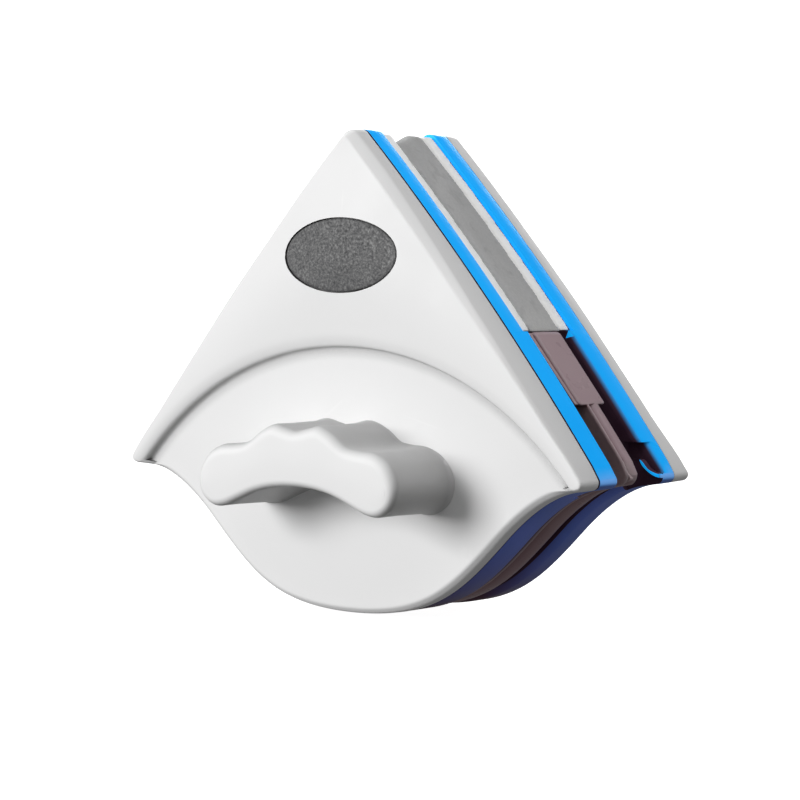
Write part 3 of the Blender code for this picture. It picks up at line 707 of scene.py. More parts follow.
def cover(side, bell_soft):
    z = PLAN[:, 1]
    levels = (-26.0, -19.0, -12.5, 3.0, 19.0, 35.0, 51.0)
    wall_run = table(z, levels, (0.30, 0.75, 1.10, 1.30, 1.10, 0.74, 0.25))
    wall_top = table(z, levels, (24.05, 23.90, 23.75, 23.95, 23.95, 22.90, 22.00))
    full_run = table(z, levels, (0.75, 1.10, 1.60, 2.00, 2.50, 2.30, 2.05))
    bell = 1.0 - ease(0.5 + step_distance(PLAN) / 6.0)
    low_run, low_top = (0.10, LOW_Q - 1.35)
    wall_run = wall_run + (low_run - wall_run) * bell
    wall_top = low_top + (wall_top - low_top) * step_share(step_distance(PLAN))
    full_run = full_run + ((7.0 if bell_soft else 1.45) - full_run) * bell
    if bell_soft:
        wall_top = wall_top + (LOW_Q - 3.7 - wall_top) * bell
    pull = 2.0 * bell if bell_soft else 0.0 * bell
    near = np.exp(-(step_distance(PLAN) / 3.2) ** 2)   # the rim thins where the step runs out
    shoulder = 1.1 + 3.4 * bell if bell_soft else 1.1 + 0.0 * bell
    roll = 0.95 + 3.0 * bell if bell_soft else 0.95 + 0.0 * bell
    wall_run = wall_run + (0.12 - wall_run) * near
    full_run = full_run + (0.50 - full_run) * near
    shoulder = shoulder + (0.30 - shoulder) * near
    skirt = COVER_Q if side == "front" else BASE_TOP_Q + 0.08

    rings = [level(inset_ring(pull + 0.40), COVER_Q), level(inset_ring(pull + 0.14), skirt + 0.02),
             level(inset_ring(pull + 0.04), skirt + 0.08), level(inset_ring(pull), skirt + 0.25)]

    def point(run, q):
        return inset_ring(pull + run), q

    a = (np.zeros(len(PLAN)), np.zeros(len(PLAN)) + COVER_Q + 0.25)
    b = (wall_run, wall_top)
    c_run = full_run
    c_q = face_height(inset_ring(pull + full_run))

    def bend(p, corner, n, r, steps):
        """A rounded corner of reach r between the runs p-corner and corner-n."""
        out = []
        du, dq = p[0] - corner[0], p[1] - corner[1]
        lp = np.hypot(du, dq)
        eu, eq = n[0] - corner[0], n[1] - corner[1]
        le = np.hypot(eu, eq)
        ra = np.minimum(r, 0.46 * np.minimum(lp, le))
        s0 = (corner[0] + du / lp * ra, corner[1] + dq / lp * ra)
        s1 = (corner[0] + eu / le * ra, corner[1] + eq / le * ra)
        for k in range(steps + 1):
            t = k / steps
            out.append(tuple((1 - t) ** 2 * s0[i] + 2 * t * (1 - t) * corner[i] + t * t * s1[i]
                             for i in (0, 1)))
        return out

    inner = inset_ring(pull + full_run + shoulder)
    d_q = face_height(inner)
    path = [(a[0] + (b[0] - a[0]) * 0.5, a[1] + (b[1] - a[1]) * 0.5)]
    path += bend(a, b, (c_run, c_q), 0.75, 5)
    path += bend(b, (c_run, c_q), (c_run + shoulder, d_q), roll, 6)
    for run, q in path:
        rings.append(level(inset_ring(pull + run), q))
    rim = inset_ring(pull + path[-1][0] + 0.25 - 0.12 * near)
    rings.append(level(rim, face_height(rim)))
    ray = HUB - rim
    unit = 1.0 / np.linalg.norm(ray, axis=1)

    def reach(limit):
        lo, hi = np.zeros(len(rim)), np.ones(len(rim))
        for _ in range(26):
            mid = 0.5 * (lo + hi)
            inside = step_distance(rim + ray * mid[:, None]) < limit
            hi = np.where(inside, mid, hi)
            lo = np.where(inside, lo, mid)
        return hi

    first = np.maximum(reach(4.4), 1.0 * unit)
    fractions = [first * (k / 26.0) ** 1.1 for k in range(1, 27)]
    across = [3.6, 3.0, 2.5, 2.0, 1.6, 1.25, 0.95, 0.7, 0.5, 0.35, 0.22, 0.12, 0.04, -0.04, -0.12,
              -0.22, -0.35, -0.5, -0.7, -0.95, -1.25, -1.6, -2.0, -2.5, -3.0, -3.8]
    for k, limit in enumerate(across):
        fractions.append(np.maximum(reach(limit), fractions[-1] + 0.012 * unit))
    last = fractions[-1]
    for k in range(1, 15):
        fractions.append(last + (0.94 - last) * (k / 14.0) ** 1.3)
    for t in fractions:
        pts = rim + ray * t[:, None]
        rings.append(level(pts, face_height(pts)))
    inner = [level(inset_ring(pull + 2.05), COVER_Q), level(inset_ring(pull + 2.2), COVER_Q + 0.15),
             level(inset_ring(pull + 2.2), 19.0), level(inset_ring(pull + 3.4), 19.6)]
    if bell_soft:
        inner = [level(inset_ring(pull + 2.05), COVER_Q), level(inset_ring(pull + 2.2), COVER_Q + 0.15),
                 level(inset_ring(pull + 2.2 + 2.0 * bell), 18.0 + 1.0 * (1 - bell)),
                 level(inset_ring(pull + 3.4 + 4.0 * bell), 19.0)]
    rings = list(reversed(inner)) + rings
    v, f = ringed(side, rings, "ngon", "fan")
    obj = make(side + "_cover_fine", v, f)
    a, b, zc = BADGE
    cut(obj, [prism("recess", side, [(a * math.cos(2 * math.pi * i / 160),
                                      zc + b * math.sin(2 * math.pi * i / 160))
                                     for i in range(160)], CROWN_Q - 1.45, CROWN_Q + 2.0)])
    sharpen(obj, 30)
    return stand_for(obj, side + "_cover", COVER)


def badge(side):
    a, b, zc = BADGE
    count = 160

    def ring(shrink, drop, flat=None, t=1.0, rough=0.0):
        pts = np.array([((a - shrink) * t * math.cos(2 * math.pi * i / count),
                         zc + (b - shrink) * t * math.sin(2 * math.pi * i / count))
                        for i in range(count)])
        q = face_height(pts) - drop if flat is None else np.zeros(count) + flat
        if rough:
            q = q + [rough * noise.noise(Vector((p[0] * 1.9, p[1] * 1.9, 3.0))) for p in pts]
        return level(pts, q)

    rings = [ring(0.30, 0, CROWN_Q - 1.60), ring(0.28, 0.62), ring(0.34, 0.36), ring(0.50, 0.22),
             ring(0.75, 0.16)]
    for k in range(1, 26):
        rings.append(ring(0.75, 0.14, t=1 - k / 26.0, rough=0.04))
    v, f = ringed(side, rings, "ngon", "fan")
    obj = make(side + "_badge_fine", v, f)
    return stand_for(obj, side + "_badge", STONE)


# =========================================================================================
# Handle
# =========================================================================================
def grip_loop(steps):
    ctrl = [(0.0, -14.7), (3.6, -14.0), (7.4, -13.3), (11.6, -15.0), (16.0, -18.0),
            (20.5, -18.9), (25.5, -19.4), (29.8, -22.0), (32.2, -26.8), (31.2, -31.6),
            (27.6, -34.5), (23.2, -34.4), (18.2, -32.4), (12.6, -30.2), (6.6, -28.9)]
    loop = ctrl + [(0.0, -28.5)] + [(-x, z) for x, z in reversed(ctrl[1:])]
    n, pts = len(loop), []
    for i in range(n):
        p0, p1, p2, p3 = (np.array(loop[(i + k) % n]) for k in (-1, 0, 1, 2))
        for s in range(steps):
            t = s / steps
            pts.append(0.5 * ((2 * p1) + (p2 - p0) * t + (2 * p0 - 5 * p1 + 4 * p2 - p3) * t * t
                              + (3 * p1 - p0 - 3 * p2 + p3) * t ** 3))
    return np.array(pts)


def even(values, rounds):
    v = np.array(values, float)
    for _ in range(rounds):
        v = 0.25 * np.roll(v, 1, axis=0) + 0.5 * v + 0.25 * np.roll(v, -1, axis=0)
    return v


def grip(side):
    plan = grip_loop(10)
    n = len(plan)
    edge = np.roll(plan, -1, axis=0) - np.roll(plan, 1, axis=0)
    normal = np.stack([-edge[:, 1], edge[:, 0]], 1)
    normal /= np.linalg.norm(normal, axis=1)[:, None]
    if ((plan - np.array((0.0, -24.0))) * normal).sum() < 0:
        normal = -normal
    normal = even(normal, 4)
    normal /= np.linalg.norm(normal, axis=1)[:, None]
    upward = np.clip(0.5 + 0.5 * normal[:, 1] * 1.35, 0, 1)
    upward = upward * upward * (3 - 2 * upward)
    roll_in = even(1.9 + (3.1 - 1.9) * upward, 6)
    roll_deep = even(2.2 + (3.4 - 2.2) * upward, 6)

    def offset(wide, tall, q):
        return level(plan + normal * np.array((wide, tall)), q)

    rings = [offset(2.2, 0.8, LOW_Q + 0.05), offset(2.4, 0.95, LOW_Q + 0.30),
             offset(2.1, 0.75, 22.9), offset(1.75, 0.62, 23.5), offset(1.45, 0.5, 24.6),
             offset(1.1, 0.42, 26.6), offset(0.75, 0.33, 31.0), offset(0.45, 0.24, 36.0)]
    for k, deg in enumerate((0, 7, 14, 21, 28, 35, 42, 49, 56, 63, 70, 77, 84, 90)):
        a = math.radians(deg)
        off = 0.3 - roll_in * (1 - math.cos(a))
        pts = plan + normal * off[:, None]
        pts = even(pts, int(k * 1.6))
        rings.append(level(pts, GRIP_FRONT_Q - 0.14 - roll_deep * (1 - math.sin(a))))
    last = rings[-1]
    left, right = int(np.argmin(last[:, 0])), int(np.argmax(last[:, 0]))
    order = [(left + k) % n for k in range(n)]
    span = (right - left) % n
    chain_a = order[:span + 1]
    chain_b = [order[0]] + list(reversed(order[span:]))

    def sample(chain):
        pts = last[chain]
        d = np.concatenate([[0], np.cumsum(np.linalg.norm(np.diff(pts[:, :2], axis=0), axis=1))])
        return d / d[-1], pts

    v, f = ringed(side, rings, "ngon", "open")
    da, pa = sample(chain_a)
    db, pb = sample(chain_b)
    verts = [tuple(x) for x in v]
    base_i = (len(rings) - 1) * n
    rows = 14
    flat = []
    for i in range(len(chain_a)):
        mate = np.array([np.interp(da[i], db, pb[:, k]) for k in range(3)])
        gap = float(np.linalg.norm(pa[i] - mate))
        for r in range(1, rows):
            w = r / rows
            p = pa[i] * (1 - w) + mate * w
            p[2] += 0.13 * math.sin(math.pi * w) * min(1.0, gap / 6.0)
            flat.append(p)
    flat = np.array(flat)
    start = len(verts)
    verts += [tuple(x) for x in place(side, flat)]

    def gid(i, r):
        return start + i * (rows - 1) + (r - 1)

    for i in range(1, len(chain_a) - 2):
        for r in range(1, rows - 1):
            f.append((gid(i, r), gid(i + 1, r), gid(i + 1, r + 1), gid(i, r + 1)))
        f.append((base_i + chain_a[i], base_i + chain_a[i + 1], gid(i + 1, 1), gid(i, 1)))
    mesh = bpy.data.meshes.new(side + "_grip_fine")
    mesh.from_pydata(verts, [], f)
    bm = bmesh.new()
    bm.from_mesh(mesh)
    bmesh.ops.delete(bm, geom=[x for x in bm.verts if not x.link_faces], context="VERTS")
    bmesh.ops.remove_doubles(bm, verts=bm.verts, dist=1e-7)
    rim = [e for e in bm.edges if e.is_boundary]
    bmesh.ops.triangle_fill(bm, use_beauty=True, use_dissolve=False, edges=rim)
    bmesh.ops.recalc_face_normals(bm, faces=bm.faces)
    bm.to_mesh(mesh)
    bm.free()
    mesh.shade_smooth()
    mesh.set_sharp_from_angle(angle=math.radians(38))
    obj = bpy.data.objects.new(side + "_grip_fine", mesh)
    bpy.context.scene.collection.objects.link(obj)
    return stand_for(obj, side + "_grip", GRIP)


# =========================================================================================
# Base, seal and blade
# =========================================================================================
def pad_plan(sign, inset, width, end_z, gap, past=False):
    rim = inset_ring(inset)
    arm = [tuple(p) for p in rim if p[0] >= gap + 0.4 and p[1] > end_z + 0.3]
    arm.sort(key=lambda p: p[1])
    slope = (arm[1][0] - arm[0][0]) / (arm[1][1] - arm[0][1])
    foot = (arm[0][0] + slope * (end_z - arm[0][1]), end_z)
    top_z = max(p[1] for p in rim)
    if past:
        arm = [(foot[0] + 20, end_z), (gap + 12, top_z + 12), (gap, top_z + 12)]
        foot_pts = []
    else:
        foot_pts = [foot]
        arm.append((gap, top_z))
    down = np.array(SIDE_FOOT) - np.array((0.0, APEX_Z))
    down = down / np.linalg.norm(down)
    inward = np.array((down[1], -down[0]))
    start = np.array((0.0, APEX_Z)) + inward * width
    high = (gap, start[1] + down[1] / down[0] * (gap - start[0]))
    low = (start[0] + down[0] / down[1] * (end_z - start[1]), end_z)
    poly = [(sign * x, z) for x, z in foot_pts + arm + [high, low]]
    return poly if sign > 0 else list(reversed(poly))


def chevron(right):
    high, low = right[-2], right[-1]
    left = [(-x, z) for x, z in reversed(right[:-2]) if x > 1e-6]
    return right[:-2] + left + [(-low[0], low[1]), high, low]


def bell_rays():
    keep = [i for i, p in enumerate(PLAN) if p[1] < -29.2 and abs(p[0]) < 62.0]
    return sorted(keep, key=lambda i: PLAN[i][0])


def bell_strip(a, b):
    rays = bell_rays()
    near, far = inset_ring(a), inset_ring(b)
    return [tuple(near[i]) for i in rays] + [tuple(far[i]) for i in reversed(rays)]


def smooth_line(pts, steps):
    out = []
    for i in range(len(pts) - 1):
        p0, p1 = np.array(pts[max(i - 1, 0)]), np.array(pts[i])
        p2, p3 = np.array(pts[i + 1]), np.array(pts[min(i + 2, len(pts) - 1)])
        for s in range(steps):
            t = s / steps
            out.append(tuple(0.5 * ((2 * p1) + (p2 - p0) * t
                                    + (2 * p0 - 5 * p1 + 4 * p2 - p3) * t * t
                                    + (3 * p1 - p0 - 3 * p2 + p3) * t ** 3)))
    out.append(tuple(pts[-1]))
    return out


def base(side):
    turn = 1.0 if side == "front" else -1.0
    soft = 0.55 if side == "front" else 2.1      # the rear tray's inner rim is rolled wider
    arms = np.clip((PLAN[:, 1] - PAD_END_Z + 1.2) / 1.0, 0, 1)
    soft = soft + (0.35 - soft) * arms           # crisp where the pads sit
    rings = []
    for deg in (90, 78, 66, 54, 42, 30, 20, 10, 0):
        a = math.radians(deg)
        rings.append(level(inset_ring(soft * (1 - math.cos(a))),
                           BASE_FACE_Q + soft * (1 - math.sin(a))))
    rings += [level(inset_ring(0.0), BASE_TOP_Q - 0.2), level(inset_ring(0.06), BASE_TOP_Q - 0.06),
              level(inset_ring(0.2), BASE_TOP_Q), level(inset_ring(2.2), BASE_TOP_Q),
              level(inset_ring(2.2), BASE_FLOOR_Q)]
    v, f = ringed(side, rings, "ngon", "ngon")
    obj = make(side + "_base_fine", v, f)
    if side == "front":
        cut(obj, [prism("lip", side, bell_strip(0.0, 1.3), 7.3, BASE_FACE_Q + 1.0)], "UNION")
    cuts = [prism("seat", side, chevron(pad_plan(1, 0.0, PAD_WIDTH + 0.4, PAD_END_Z - 0.1, 0.0, True)),
                  BASE_FACE_Q - 3.0, PAD_SEAT_Q - 0.06),
            prism("seat", side, chevron(pad_plan(1, 0.9, PAD_WIDTH - 0.5, PAD_END_Z - 0.1, 0.0)),
                  BASE_FACE_Q - 3.0, PAD_SEAT_Q),
            prism("groove", side, bell_strip(5.7, 8.9), BASE_FACE_Q - 3.0, 11.2)]
    for x, z in BASE_SCREWS:
        cuts.append(turned("sink", side, x, z, ((3.3, BASE_FACE_Q - 2), (3.3, 11.4), (1.7, 11.4),
                                                (1.7, 14.2))))
    # the hooked cord eyelet: open towards the middle, with a thin hook along the corner
    upper = smooth_line([(-69.4, -21.05), (-70.25, -21.6), (-71.7, -23.2), (-73.4, -24.1),
                         (-75.0, -24.65), (-79.0, -25.3)], 6)
    lower = smooth_line([(-69.35, -21.3), (-70.4, -22.8), (-72.7, -24.5), (-75.6, -25.75),
                         (-79.0, -26.5)], 6)
    cuts.append(prism("pocket", side, [(-79.0, -16.7), (-64.2, -16.7), (-64.2, -20.9)] + upper,
                      BASE_FACE_Q - 3.0, 11.9))
    cuts.append(prism("under", side, [(-64.2, -20.7), (-69.2, -20.7)] + lower
                      + [(-79.0, -33.0), (-64.2, -33.0)], BASE_FACE_Q - 3.0, 11.6))
    # the pocket's floor rolls away towards the outside
    roll = []
    for k, (d, q) in enumerate(((2.6, 11.2), (2.6, 11.9), (1.9, 12.0), (1.3, 12.12), (0.85, 12.32),
                                (0.5, 12.6), (0.25, 12.95), (0.08, 13.35), (-0.3, 14.3),
                                (-1.4, 14.3), (-1.4, 11.2))):
        roll.append((d, q))
    ends = []
    for zz in (-16.7, -24.3):
        row = []
        for d, q in roll:
            t = (zz - APEX_Z) / (SIDE_FOOT[1] - APEX_Z)
            px, pz = side_point(min(1.0, t))
            row.append((-(px - d * 1.31), zz, q))
        ends.append(row)
    rows = [[tuple(np.array(p) * (1 - k / 10) + np.array(w) * k / 10) for p, w in zip(*ends)]
            for k in range(11)]
    v, f = ringed(side, rows, "ngon", "ngon")
    cuts.append(make("floor", v, f))
    for c in cuts:
        cut(obj, [c])
    obj = bevelled(obj, 0.00016, 2, 55)
    sharpen(obj, 30)
    stand_for(obj, side + "_base", BLUE_FRONT if side == "front" else BLUE_REAR)
    # extra slots: 1 the glowing blue, 2 the plum painted shade, 3 the indigo painted shade underneath
    for extra in (BLUE_FLAT, PAINTED_SHADE_PLUM, PAINTED_SHADE_INDIGO):
        obj.data.materials.append(extra)
    count = len(obj.data.polygons)
    centre, normal = np.empty(count * 3), np.empty(count * 3)
    obj.data.polygons.foreach_get("center", centre)
    obj.data.polygons.foreach_get("normal", normal)
    centre, normal = centre.reshape(-1, 3) / MM, normal.reshape(-1, 3)
    x, z, q = centre[:, 0] * turn, centre[:, 2] - Z_SHIFT, -centre[:, 1] * turn
    glass, out = normal[:, 1] * turn, np.abs(normal[:, 0])
    depth = edge_distance(np.column_stack([x, z]))
    outside = (depth < 0.35) & (np.abs(glass) < 0.6)
    index = np.full(count, 2)
    rolled = (depth < 2.7) & (q < 14.8) & (z > -28.0)
    index[rolled & (glass > 0.02)] = 0
    index[(z > PAD_END_Z - 1.7) & (glass > 0.5) & ((depth < 1.2) | (q < PAD_SEAT_Q - 0.03))] = 1
    index[(z < PAD_END_Z + 0.3) & (z > PAD_END_Z - 1.7) & (depth < 3.2) & (q < 9.6) & (glass > 0.5)] = 1
    index[(x < -68.9) & (z < -20.3) & (q < 11.55) & (glass > 0.04)] = 1
    index[(z < -27.2) & (depth < 2.6) & (normal[:, 2] < -0.2)] = 3
    index[outside] = 0
    index[(z < -27.6) & (np.abs(x) < 66.0) & (depth < 0.6)] = 3
    index[(z < -26.0) & (q < 9.15)] = 3
    obj.data.polygons.foreach_set("material_index", index.astype(np.int32))
    obj.data.update()
    return obj


def seal(side):
    rows = []
    for depth, q in ((0.32, 17.15), (0.24, 17.22), (0.22, 17.35), (0.24, 17.48), (0.32, 17.55),
                     (2.0, 17.55), (2.0, 17.15)):
        tuck = 0.7 + 2.0 * np.clip(0.5 - step_distance(PLAN) / 2.0, 0, 1)
        rows.append(level(inset_ring(depth + (0.0 if side == "front" else tuck)), q))
    n = len(PLAN)
    v = np.vstack([place(side, r) for r in rows])
    f = []
    for k in range(len(rows)):
        a, b = k * n, ((k + 1) % len(rows)) * n
        f += [(a + i, a + (i + 1) % n, b + (i + 1) % n, b + i) for i in range(n)]
    obj = make(side + "_seal_fine", v, f, angle=40)
    return stand_for(obj, side + "_seal", SEAL)


def blade(side):
    section = ((6.15, 10.9), (8.45, 10.9), (8.6, 10.75), (8.6, 9.15), (8.45, 8.85), (8.05, 8.55),
               (7.92, 8.2), (7.80, 5.0), (7.72, 2.7), (7.6, 2.45), (7.3, 2.36), (7.05, 2.45),
               (6.92, 2.7), (6.80, 5.0), (6.68, 8.2), (6.55, 8.55), (6.15, 8.85), (6.0, 9.15),
               (6.0, 10.75))
    rings = [(inset_ring(a), q) for a, q in section]
    rays = bell_rays()[7:-7]
    n = len(section)
    rows = [[(*r[i], q) for r, q in rings] for i in rays]
    v, f = ringed(side, rows, "ngon", "ngon")
    obj = make(side + "_blade_fine", v, f, angle=38)
    return stand_for(obj, side + "_wiper_blade", RUBBER)


# =========================================================================================
# Soft pieces: fleece pads and the foam chevron
# =========================================================================================
def plump(obj, voxel, rounds, factor, wobble, scale, seed):
    """Round a plain block into a soft piece: even mesh, relaxed edges, uneven surface."""
    mod = obj.modifiers.new("even", "REMESH")
    mod.mode = "VOXEL"
    mod.voxel_size = voxel
    mod = obj.modifiers.new("relax", "SMOOTH")
    mod.factor = factor
    mod.iterations = rounds
    settle(obj)
    mesh = obj.data
    n = len(mesh.vertices)
    co = np.empty(n * 3)
    no = np.empty(n * 3)
    mesh.vertices.foreach_get("co", co)
    mesh.vertex_normals.foreach_get("vector", no)
    co, no = co.reshape(-1, 3), no.reshape(-1, 3)
    push = np.empty(n)
    for i in range(n):
        p = Vector(co[i]) * scale
        p.x += seed
        push[i] = noise.noise(p) * 0.6 + noise.noise(p * 2.7) * 0.4
    co = co + no * (push * wobble)[:, None]
    mesh.vertices.foreach_set("co", co.reshape(-1))
    mesh.update()
    mesh.shade_smooth()
    return obj


def worn_top(obj, q_of, high, low, drop):
    """The soft pieces are worn down at the apex, more towards the front."""
    mesh = obj.data
    n = len(mesh.vertices)
    co = np.empty(n * 3)
    mesh.vertices.foreach_get("co", co)
    co = co.reshape(-1, 3)
    z = co[:, 2] / MM
    y = co[:, 1] / MM
    k = np.clip((high - y) / (high - low), 0, 1) * np.clip((z - 52.0) / 8.0, 0, 1)
    co[:, 2] -= drop * MM * k
    mesh.vertices.foreach_set("co", co.reshape(-1))
    mesh.update()


def pad(side, tag, sign, seed):
    poly = pad_plan(sign, 0.62, PAD_WIDTH, PAD_END_Z + 0.02, 0.12)
    obj = prism(side + "_pad_fine_" + tag, side, poly, 6.62, 11.3)
    plump(obj, 0.0006, 4, 0.5, 0.00009, 900.0, seed)
    stand_for(obj, "%s_pad_%s" % (side, tag), FLEECE)
    return obj


def foam():
    poly = chevron(pad_plan(1, 0.66, PAD_WIDTH, PAD_END_Z - 0.25, 0.0))
    obj = prism("foam_fine", "mid", poly, -6.6, 6.6)
    plump(obj, 0.0008, 3, 0.5, 0.00010, 260.0, 4.0)
    worn_top(obj, None, 2.0, -6.5, 3.4)
    stand_for(obj, "spacer_foam", FOAM)
    return obj


# =========================================================================================
# Spacer tray
# =========================================================================================
def tray():
    rim = inset_ring(1.6)
    low = [i for i, p in enumerate(rim) if p[1] < PAD_END_Z - 0.6]
    order = sorted(low, key=lambda i: math.atan2(rim[i][0], -(rim[i][1] - 12.0)))
    top = max(low, key=lambda i: rim[i][1])
    top_x = abs(rim[top][0])
    plate = [(-top_x, PAD_END_Z - 0.4)] + [tuple(rim[i]) for i in order] + [(top_x, PAD_END_Z - 0.4)]
    obj = prism("tray_fine", "mid", plate, -0.9, 1.9)
    near = inset_ring(0.4)
    blocks = []
    for sign in (1, -1):
        pick = sorted([i for i in range(len(PLAN)) if sign * near[i][0] > 0
                       and -7.2 < near[i][1] < PAD_END_Z - 0.8], key=lambda i: near[i][1])
        lo, hi = near[pick[0]], near[pick[-1]]
        slope = (hi[0] - lo[0]) / (hi[1] - lo[1])
        z0, z1 = -7.2, PAD_END_Z - 0.35
        a = (lo[0] + slope * (z0 - lo[1]), z0)
        b = (hi[0] + slope * (z1 - hi[1]), z1)
        poly = [a, b, (b[0] - sign * 14.0, z1), (a[0] - sign * 14.0, z0)]
        block = prism("block", "mid", poly if sign > 0 else list(reversed(poly)), -6.1, 5.9)
        blocks.append(bevelled(block, 0.0011, 6, 40))
        slim = [(p[0] - sign * 0.95, p[1]) for p in poly[:2]] + [(p[0], p[1]) for p in poly[2:]]
        slim = [(slim[0][0], slim[0][1] + 0.25), (slim[1][0], slim[1][1] - 0.25),
                (slim[2][0], slim[2][1] - 0.25), (slim[3][0], slim[3][1] + 0.25)]
        flange = prism("flange", "mid", slim if sign > 0 else list(reversed(slim)), -7.0, -5.0)
        blocks.append(bevelled(flange, 0.0003, 3, 40))

    # the rim round the lower edge: a lip at the front, then a half-round bead
    side_section = ((1.0, -2.85), (0.62, -2.75), (0.45, -2.5), (0.50, -2.2), (0.95, -1.95),
                    (1.75, -1.6), (1.80, -1.1), (1.20, -0.6), (0.72, -0.05), (0.48, 0.5), (0.38, 1.1),
                    (0.44, 1.7), (0.70, 2.3), (1.15, 2.8), (1.9, 3.05), (4.2, 3.05), (4.2, -2.85))
    bell_section = ((1.2, -4.4), (0.80, -4.3), (0.60, -4.0), (0.68, -3.6), (1.15, -3.2),
                    (1.9, -2.7), (1.95, -2.0), (1.30, -1.2), (0.76, -0.2), (0.48, 0.9), (0.38, 2.0),
                    (0.46, 3.1), (0.75, 4.2), (1.25, 5.1), (2.1, 5.6), (4.2, 5.6), (4.2, -4.2))

    def soft_ring(depth, radius=2.6):
        """An inset ring whose corners are rounder than the base's."""
        core = inset_ring(depth + radius)
        lo, hi = np.zeros(len(PLAN)), np.ones(len(PLAN)) * 0.75
        span = HUB - PLAN
        hi = np.linalg.norm(core - PLAN, axis=1) / np.linalg.norm(span, axis=1)
        for _ in range(18):
            mid = 0.5 * (lo + hi)
            within = edge_distance(PLAN + span * mid[:, None], core) <= radius
            hi = np.where(within, mid, hi)
            lo = np.where(within, lo, mid)
        return PLAN + span * hi[:, None]

    smooth_rings = {d: soft_ring(d) for d in sorted({a for a, _ in side_section + bell_section})}
    rows = []
    keep = [i for i in order if PLAN[i][1] < -6.0]
    for i in keep:
        t = float(np.clip((66.0 - abs(PLAN[i][0])) / 9.0, 0, 1)) if PLAN[i][1] < -26.9 else 0.0
        t = t * t * (3 - 2 * t)
        row = []
        for (d0, q0), (d1, q1) in zip(side_section, bell_section):
            p = smooth_rings[d0][i] * (1 - t) + smooth_rings[d1][i] * t
            row.append((p[0], p[1], q0 * (1 - t) + q1 * t))
        rows.append(row)
    v, f = ringed("mid", rows, "ngon", "ngon")
    bead = make("bead", v, f)
    for piece in blocks + [bead]:
        cut(obj, [piece], "UNION")
    sharpen(obj, 42)
    flats = np.empty(len(obj.data.polygons))
    obj.data.polygons.foreach_get("area", flats)
    broad = np.empty(len(flats) * 3)
    obj.data.polygons.foreach_get("normal", broad)
    broad = np.abs(broad.reshape(-1, 3)[:, 1])
    smooth = ~((flats > 6e-6) | (broad > 0.995))
    obj.data.polygons.foreach_set("use_smooth", smooth)
    obj.data.update()
    return stand_for(obj, "spacer_tray", SMOKE)


# =========================================================================================
# Put it together
# =========================================================================================
for half in ("front", "rear"):
    cover(half, half == "rear")
    badge(half)
    grip(half)
    base(half)
    seal(half)
    blade(half)
    for k, (tag, sign) in enumerate((("left", -1), ("right", 1))):
        pad(half, tag, sign, 10.0 + k + (5.0 if half == "rear" else 0.0))
    wear(NODES[half + "_yoke_plate"], STEEL)
    for tag in ("top", "left", "right"):
        wear(NODES["%s_magnet_%s" % (half, tag)], NICKEL)
    for tag in ("base_screw_1", "base_screw_2", "base_screw_3", "grip_screw_left",
                "grip_screw_right"):
        wear(NODES["%s_%s" % (half, tag)], ZINC)
foam()
tray()


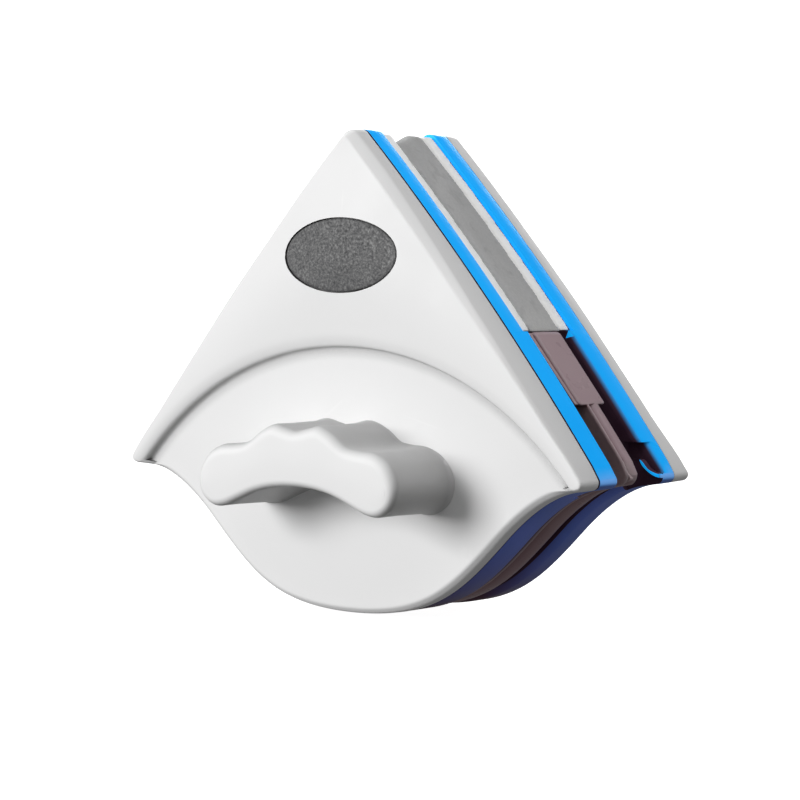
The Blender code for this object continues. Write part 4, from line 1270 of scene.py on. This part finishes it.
# =========================================================================================
# Studio: plain pale sweep, soft light
# =========================================================================================
def studio():
    scene = bpy.context.scene
    scene.view_settings.view_transform = "Standard"
    scene.view_settings.look = "None"
    scene.view_settings.exposure = 0.0
    world = bpy.data.worlds.new("studio")
    world.use_nodes = True
    nt = world.node_tree
    bg = nt.nodes["Background"]
    tc = nt.nodes.new("ShaderNodeTexCoord")
    sep = nt.nodes.new("ShaderNodeSeparateXYZ")
    ramp = nt.nodes.new("ShaderNodeValToRGB")
    mr = nt.nodes.new("ShaderNodeMapRange")
    mr.inputs["From Min"].default_value = -1.0
    nt.links.new(tc.outputs["Generated"], sep.inputs[0])
    nt.links.new(sep.outputs["Z"], mr.inputs["Value"])
    nt.links.new(mr.outputs["Result"], ramp.inputs["Fac"])
    el = ramp.color_ramp.elements
    el[0].position, el[0].color = 0.40, (0.19, 0.19, 0.19, 1)
    el[1].position, el[1].color = 0.60, (0.29, 0.29, 0.29, 1)
    nt.links.new(ramp.outputs["Color"], bg.inputs["Color"])
    bg.inputs["Strength"].default_value = 0.85
    scene.world = world

    low = CAD_BOX[0][2]
    # a round sweep: flat under the cleaner, curving up to a wall on every side
    profile = [(0.4, 0.0), (0.9, 0.0), (1.5, 0.0)]
    for k in range(1, 13):
        a = math.radians(90 * k / 12)
        profile.append((1.5 + 0.6 * math.sin(a), 0.6 * (1 - math.cos(a))))
    profile.append((2.1, 3.4))
    turn = 72
    verts, faces = [(0.0, 0.0, low - 0.0006)], []
    for r, z in profile:
        for k in range(turn):
            a = 2 * math.pi * k / turn
            verts.append((r * math.cos(a), r * math.sin(a), low - 0.0006 + z))
    for k in range(turn):
        faces.append((0, 1 + k, 1 + (k + 1) % turn))
    for j in range(len(profile) - 1):
        a, b = 1 + j * turn, 1 + (j + 1) * turn
        faces += [(a + k, b + k, b + (k + 1) % turn, a + (k + 1) % turn) for k in range(turn)]
    mesh = bpy.data.meshes.new("floor")
    mesh.from_pydata(verts, [], faces)
    mesh.shade_smooth()
    floor = bpy.data.objects.new("floor", mesh)
    scene.collection.objects.link(floor)
    mat = bpy.data.materials.new("floor_paper")
    mat.use_nodes = True
    b = mat.node_tree.nodes["Principled BSDF"]
    b.inputs["Base Color"].default_value = (0.6, 0.6, 0.6, 1)
    b.inputs["Roughness"].default_value = 0.9
    b.inputs["Emission Color"].default_value = (1, 1, 1, 1)
    b.inputs["Emission Strength"].default_value = 0.97
    mesh.materials.append(mat)
    floor.visible_diffuse = False
    floor.visible_glossy = False
    floor.visible_transmission = False
    floor.visible_shadow = False

    def area(name, loc, aim, size, power, size_y=None):
        data = bpy.data.lights.new(name, "AREA")
        data.energy = power
        data.size = size
        if size_y:
            data.shape = "RECTANGLE"
            data.size_y = size_y
        obj = bpy.data.objects.new(name, data)
        scene.collection.objects.link(obj)
        obj.location = loc
        obj.rotation_euler = (Vector(aim) - Vector(loc)).to_track_quat("-Z", "Y").to_euler()
        return obj

    area("key", (-1.20, -2.30, 0.60), (0, 0, 0), 1.15, 61.5)
    area("top", (0.45, 0.0, 1.15), (0, 0, 0), 0.9, 7.0)
    area("back", (-1.20, 2.30, 0.60), (0, 0, 0), 1.15, 40.0)


studio()
